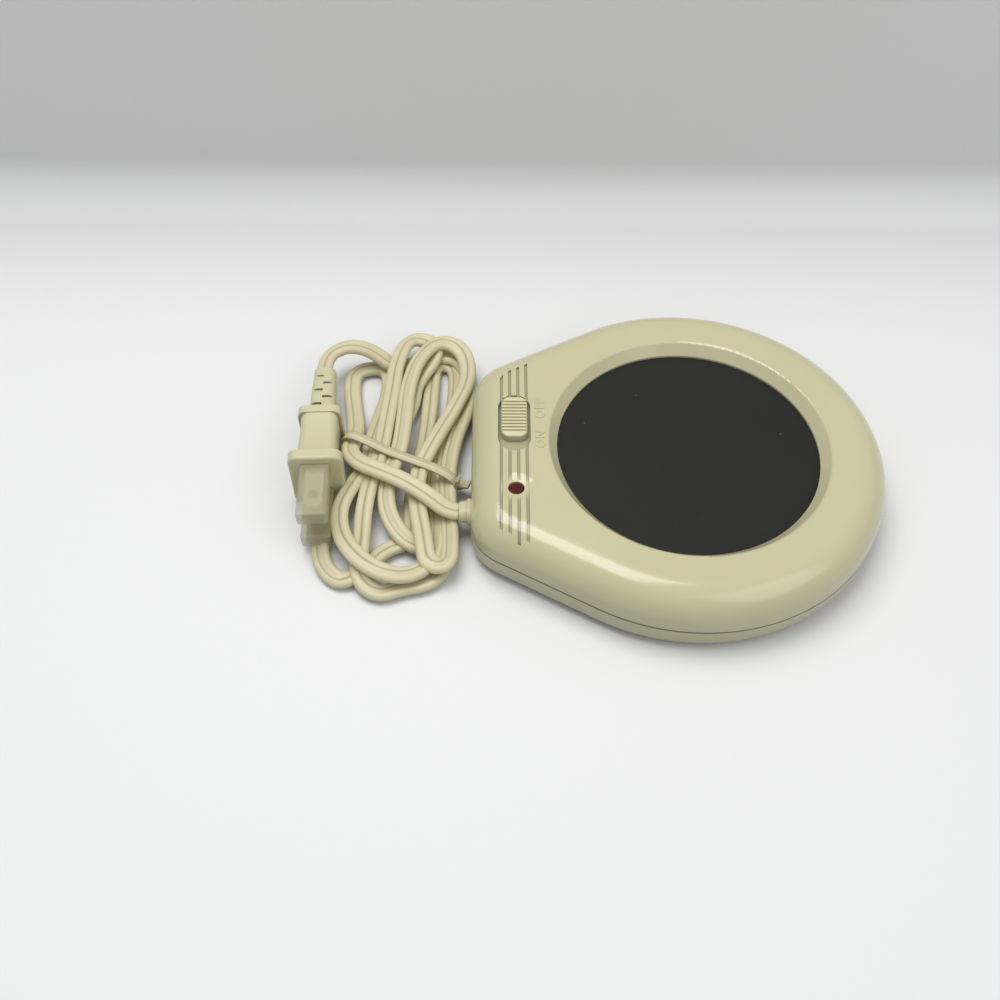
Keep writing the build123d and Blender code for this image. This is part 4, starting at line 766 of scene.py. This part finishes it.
def screw_form(head_radius, head_height, shank_radius, length):
    """One screw along Z: its head from the origin down, its thread from the origin up"""
    segments = 24
    thread_steps = 12
    pitch = shank_radius * 0.55
    root_radius = shank_radius * 0.82
    recess_half = head_radius * 0.13
    recess_reach = head_radius * 0.55
    recess_depth = head_height * 0.5
    recess_taper = 0.8
    bm = bmesh.new()
    # head: rounded rim from the seat to the flat of the head
    rim = [(0.96, 0.0), (1.0, 0.12), (1.0, 0.45), (0.94, 0.74), (0.80, 0.93), (0.66, 1.0)]
    rows = []
    for share, drop in rim:
        rows.append([
            bm.verts.new((
                head_radius * share * math.cos(2 * math.pi * step / segments),
                head_radius * share * math.sin(2 * math.pi * step / segments),
                -head_height * drop,
            ))
            for step in range(segments)
        ])
    for low, high in zip(rows, rows[1:]):
        for step in range(segments):
            beside = (step + 1) % segments
            bm.faces.new((low[step], low[beside], high[beside], high[step])).smooth = True
    bm.faces.new(rows[0])
    # cross recess let into the flat of the head
    corner = [
        (recess_reach, -recess_half), (recess_reach, recess_half), (recess_half, recess_half),
        (recess_half, recess_reach), (-recess_half, recess_reach), (-recess_half, recess_half),
        (-recess_reach, recess_half), (-recess_reach, -recess_half), (-recess_half, -recess_half),
        (-recess_half, -recess_reach), (recess_half, -recess_reach), (recess_half, -recess_half),
    ]
    mouth = [bm.verts.new((x, y, -head_height)) for x, y in corner]
    floor_of = [
        bm.verts.new((x * recess_taper, y * recess_taper, -head_height + recess_depth))
        for x, y in corner
    ]
    flat_edges = []
    for ring in (rows[-1], mouth):
        for step, vertex in enumerate(ring):
            beside = ring[(step + 1) % len(ring)]
            flat_edges.append(bm.edges.get((vertex, beside)) or bm.edges.new((vertex, beside)))
    bmesh.ops.triangle_fill(bm, use_beauty=True, edges=flat_edges)
    for step in range(len(corner)):
        beside = (step + 1) % len(corner)
        bm.faces.new((mouth[step], mouth[beside], floor_of[beside], floor_of[step]))
    bm.faces.new(floor_of)
    # thread: one crest and one root that wind up the shank together
    turns = int((length - pitch) / pitch)
    crests = []
    roots = []
    for step in range(turns * thread_steps + 1):
        angle = 2 * math.pi * step / thread_steps
        height = pitch * step / thread_steps
        for line, radius, rise in ((crests, shank_radius, 0), (roots, root_radius, pitch / 2)):
            line.append(bm.verts.new((
                radius * math.cos(angle), radius * math.sin(angle), height + rise,
            )))
    for step in range(len(crests) - 1):
        bm.faces.new((crests[step], crests[step + 1], roots[step + 1], roots[step]))
        if step + thread_steps + 1 < len(crests):
            above = step + thread_steps
            bm.faces.new((roots[step], roots[step + 1], crests[above + 1], crests[above]))
    tip = bm.verts.new((0, 0, length))
    for step in range(len(roots) - thread_steps, len(roots) - 1):
        bm.faces.new((roots[step], roots[step + 1], tip))
    bmesh.ops.recalc_face_normals(bm, faces=bm.faces)
    mesh = bpy.data.meshes.new("screw_form")
    bm.to_mesh(mesh)
    bm.free()
    return mesh


screw_spin = 1.1
screw_tree = bpy.data.node_groups.new("screw_set", "GeometryNodeTree")
new_socket = screw_tree.interface.new_socket
new_socket("Places", in_out="INPUT", socket_type="NodeSocketGeometry")
form_in = new_socket("Screw", in_out="INPUT", socket_type="NodeSocketObject")
flip_in = new_socket("Head up", in_out="INPUT", socket_type="NodeSocketFloat")
finish_in = new_socket("Finish", in_out="INPUT", socket_type="NodeSocketMaterial")
new_socket("Screws", in_out="OUTPUT", socket_type="NodeSocketGeometry")
nodes = screw_tree.nodes
link = screw_tree.links.new
entry = nodes.new("NodeGroupInput")
source = nodes.new("GeometryNodeObjectInfo")
number = nodes.new("GeometryNodeInputIndex")
spin = nodes.new("ShaderNodeMath")
spin.operation = "MULTIPLY"
spin.inputs[1].default_value = screw_spin
turned = nodes.new("ShaderNodeCombineXYZ")
placed_screws = nodes.new("GeometryNodeInstanceOnPoints")
realized = nodes.new("GeometryNodeRealizeInstances")
coated = nodes.new("GeometryNodeSetMaterial")
leaving = nodes.new("NodeGroupOutput")
link(entry.outputs["Screw"], source.inputs["Object"])
link(number.outputs["Index"], spin.inputs[0])
link(entry.outputs["Head up"], turned.inputs["X"])
link(spin.outputs["Value"], turned.inputs["Z"])
link(entry.outputs["Places"], placed_screws.inputs["Points"])
link(source.outputs["Geometry"], placed_screws.inputs["Instance"])
link(turned.outputs["Vector"], placed_screws.inputs["Rotation"])
link(placed_screws.outputs["Instances"], realized.inputs["Geometry"])
link(realized.outputs["Geometry"], coated.inputs["Geometry"])
link(entry.outputs["Finish"], coated.inputs["Material"])
link(coated.outputs["Geometry"], leaving.inputs["Screws"])

# each set is named for the node that it replaces, with its sizes in millimetres
screw_sets = {
    "case_screws": dict(
        centres=[(34.52, 50.03), (34.52, -50.03), (-50.05, 37.0), (-50.05, -37.0)], seat=5.0,
        head_radius=2.9, head_height=2.0, shank_radius=1.45, length=14.0, head_up=False,
    ),
    "shield_screws": dict(
        centres=[(56.75, 0.0), (-23.5, 46.33), (-23.5, -46.33)], seat=14.7,
        head_radius=2.6, head_height=1.8, shank_radius=1.25, length=5.0, head_up=False,
    ),
    "switch_screws": dict(
        centres=[(-57.5, 22.2), (-57.5, -6.2)], seat=16.0,
        head_radius=2.3, head_height=1.4, shank_radius=1.1, length=3.2, head_up=False,
    ),
    "bar_screws": dict(
        centres=[(-66.45, -14.0), (-66.45, -28.0)], seat=14.0,
        head_radius=1.9, head_height=1.4, shank_radius=1.1, length=5.5, head_up=True,
    ),
}
for set_name, screws in screw_sets.items():
    form_mesh = screw_form(
        screws["head_radius"] / metre, screws["head_height"] / metre,
        screws["shank_radius"] / metre, screws["length"] / metre,
    )
    form = bpy.data.objects.new("screw_form", form_mesh)
    places = bpy.data.meshes.new(set_name)
    seat = screws["seat"] / metre
    places.from_pydata([(x / metre, y / metre, seat) for x, y in screws["centres"]], [], [])
    screw_draft = bpy.data.objects.new(set_name, places)
    copies = screw_draft.modifiers.new("screws", "NODES")
    copies.node_group = screw_tree
    copies[form_in.identifier] = form
    copies[flip_in.identifier] = math.pi if screws["head_up"] else 0.0
    copies[finish_in.identifier] = plated_steel
    screw_mesh = plain_mesh(screw_draft)
    bpy.data.objects.remove(form)
    show(screw_mesh, set_name + "_threaded", plated_steel, "steel", set_name)

# Feet: four black moulded rubber pads, pressed into sockets under the housing. They are dull and
# dusty from the table.
foot_rubber = finish_of(
    "foot_rubber",
    light=(0.030, 0.030, 0.030),
    dark=(0.016, 0.016, 0.016),
    roughness=0.8,
    grain_size=0.0007,
    grain_depth=0.4,
    cloud_size=0.004,
)
dress(foot_rubber, "foot_1", "foot_2", "foot_3", "foot_4")

# Switch: a knob moulded in the housing's colour, here painted lighter as painted light that makes
# up for the shade between its ribs, with painted shade between its ribs. The switch's body and
# slider under it, and the bar that clamps the cord, are dark moulded plastic.
# the knob's colour is painted lighter than the housing's, as painted light for its shaded ribs
knob_plastic = finish_of(
    "knob_plastic",
    light=(0.70, 0.66, 0.41),
    dark=(0.64, 0.60, 0.365),
    roughness=0.36,
    grain_size=0.0012,
    grain_depth=0.08,
    cloud_size=0.006,
)


def between_ribs(nodes, link):
    """Mask of painted shade in the grooves, just under the knob's top"""
    groove_mouth = 0.0249
    groove_floor = 0.0245
    painted_shade_share = 0.5
    height = object_axes(nodes, link)["Z"]
    return ramp_between(nodes, link, height, groove_mouth, groove_floor, painted_shade_share)


# painted shade in the grooves between the knob's ribs
tinted(knob_plastic, colour=(0.33, 0.30, 0.19), mask_of=between_ribs)
dress(knob_plastic, "switch_knob")
dark_plastic = finish_of(
    "dark_plastic",
    light=(0.032, 0.032, 0.033),
    dark=(0.020, 0.020, 0.021),
    roughness=0.5,
    grain_size=0.0009,
    grain_depth=0.2,
)
dress(dark_plastic, "switch_body", "switch_slider", "cord_bar")

# Pilot lamp: a dark red lens low in its dish, a glow bulb in a woven sleeve, and the resistor in
# its lead with coloured bands.
lens_red = finish_of(
    "lens_red",
    light=(0.11, 0.010, 0.008),
    dark=(0.055, 0.005, 0.004),
    roughness=0.16,
    grain_size=0.002,
    grain_depth=0.05,
    cloud_size=0.002,
)
shader_of(lens_red).inputs["Specular IOR Level"].default_value = 0.3
dress(lens_red, "lamp_lens")
sleeve_white = finish_of(
    "sleeve_white",
    light=(0.70, 0.67, 0.58),
    dark=(0.60, 0.57, 0.48),
    roughness=0.6,
    grain_size=0.0006,
    grain_depth=0.6,
)
dress(sleeve_white, "lamp_sleeve")
lamp_glass = finish_of(
    "lamp_glass",
    light=(0.72, 0.66, 0.60),
    dark=(0.66, 0.60, 0.54),
    roughness=0.08,
    grain_size=0.003,
    grain_depth=0.05,
)
shader_of(lamp_glass).inputs["Transmission Weight"].default_value = 0.7
dress(lamp_glass, "neon_lamp")
resistor_body = finish_of(
    "resistor_body",
    light=(0.40, 0.26, 0.15),
    dark=(0.32, 0.20, 0.11),
    roughness=0.45,
    grain_size=0.001,
    grain_depth=0.1,
)


def resistor_bands(nodes, link):
    """Mask of the painted bands, evenly spaced along the resistor"""
    half_pitch = 0.0007
    band_edge = 0.00022
    band_core = 0.00018
    band_share = 0.9
    off_band = from_nearest_line(nodes, link, object_axes(nodes, link)["Y"], half_pitch)
    return ramp_between(nodes, link, off_band, band_edge, band_core, band_share)


tinted(resistor_body, colour=(0.05, 0.02, 0.01), mask_of=resistor_bands)
dress(resistor_body, "lamp_resistor")

# Inner leads and crimps: heat-proof vinyl over stranded wire joins the cord, the switch, the fuse
# and the element, with two red insulated crimps.
lead_vinyl = finish_of(
    "lead_vinyl",
    light=(0.66, 0.63, 0.54),
    dark=(0.54, 0.51, 0.43),
    roughness=0.45,
    grain_size=0.001,
    grain_depth=0.15,
    cloud_size=0.005,
)
dress(lead_vinyl, "wire_live", "wire_load", "wire_fuse", "fuse_lead", "wire_return", "wire_element")
crimp_red = finish_of(
    "crimp_red",
    light=(0.32, 0.03, 0.03),
    dark=(0.20, 0.018, 0.018),
    roughness=0.4,
    grain_size=0.001,
    grain_depth=0.15,
    cloud_size=0.005,
)
dress(crimp_red, "crimp_connectors")

# Plug: ivory vinyl moulded round the cord, with a notched sleeve behind it, and the same vinyl
# for the collar at the housing and the cord inside. Two plated blades stand out of the plug, each
# under a milky soft cover that shows the blade and its hole.
plug_vinyl = finish_of(
    "plug_vinyl",
    light=(0.645, 0.605, 0.385),
    dark=(0.575, 0.535, 0.33),
    roughness=0.38,
    grain_size=0.0012,
    grain_depth=0.12,
)
# painted shade in the plug's hollows and notches
tinted(plug_vinyl, colour=(0.30, 0.27, 0.165), mask_of=hollow_shade)
dress(plug_vinyl, "plug_body", "plug_relief", "cord_grommet", "cord_inner")
blade_metal = finish_of(
    "blade_metal",
    light=(0.78, 0.74, 0.60),
    dark=(0.66, 0.62, 0.49),
    roughness=0.42,
    grain_size=0.0008,
    grain_depth=0.08,
    metallic=1.0,
    cloud_size=0.005,
)
scratched(blade_metal, width=0.0004, depth=0.5)
dress(blade_metal, "blade_upper", "blade_lower")
cover_milk = finish_of(
    "cover_milk",
    light=(0.58, 0.535, 0.34),
    dark=(0.50, 0.455, 0.28),
    roughness=0.36,
    grain_size=0.0014,
    grain_depth=0.08,
    cloud_size=0.008,
)
shader_of(cover_milk).inputs["Alpha"].default_value = 0.45
dress(cover_milk, "cover_upper", "cover_lower")
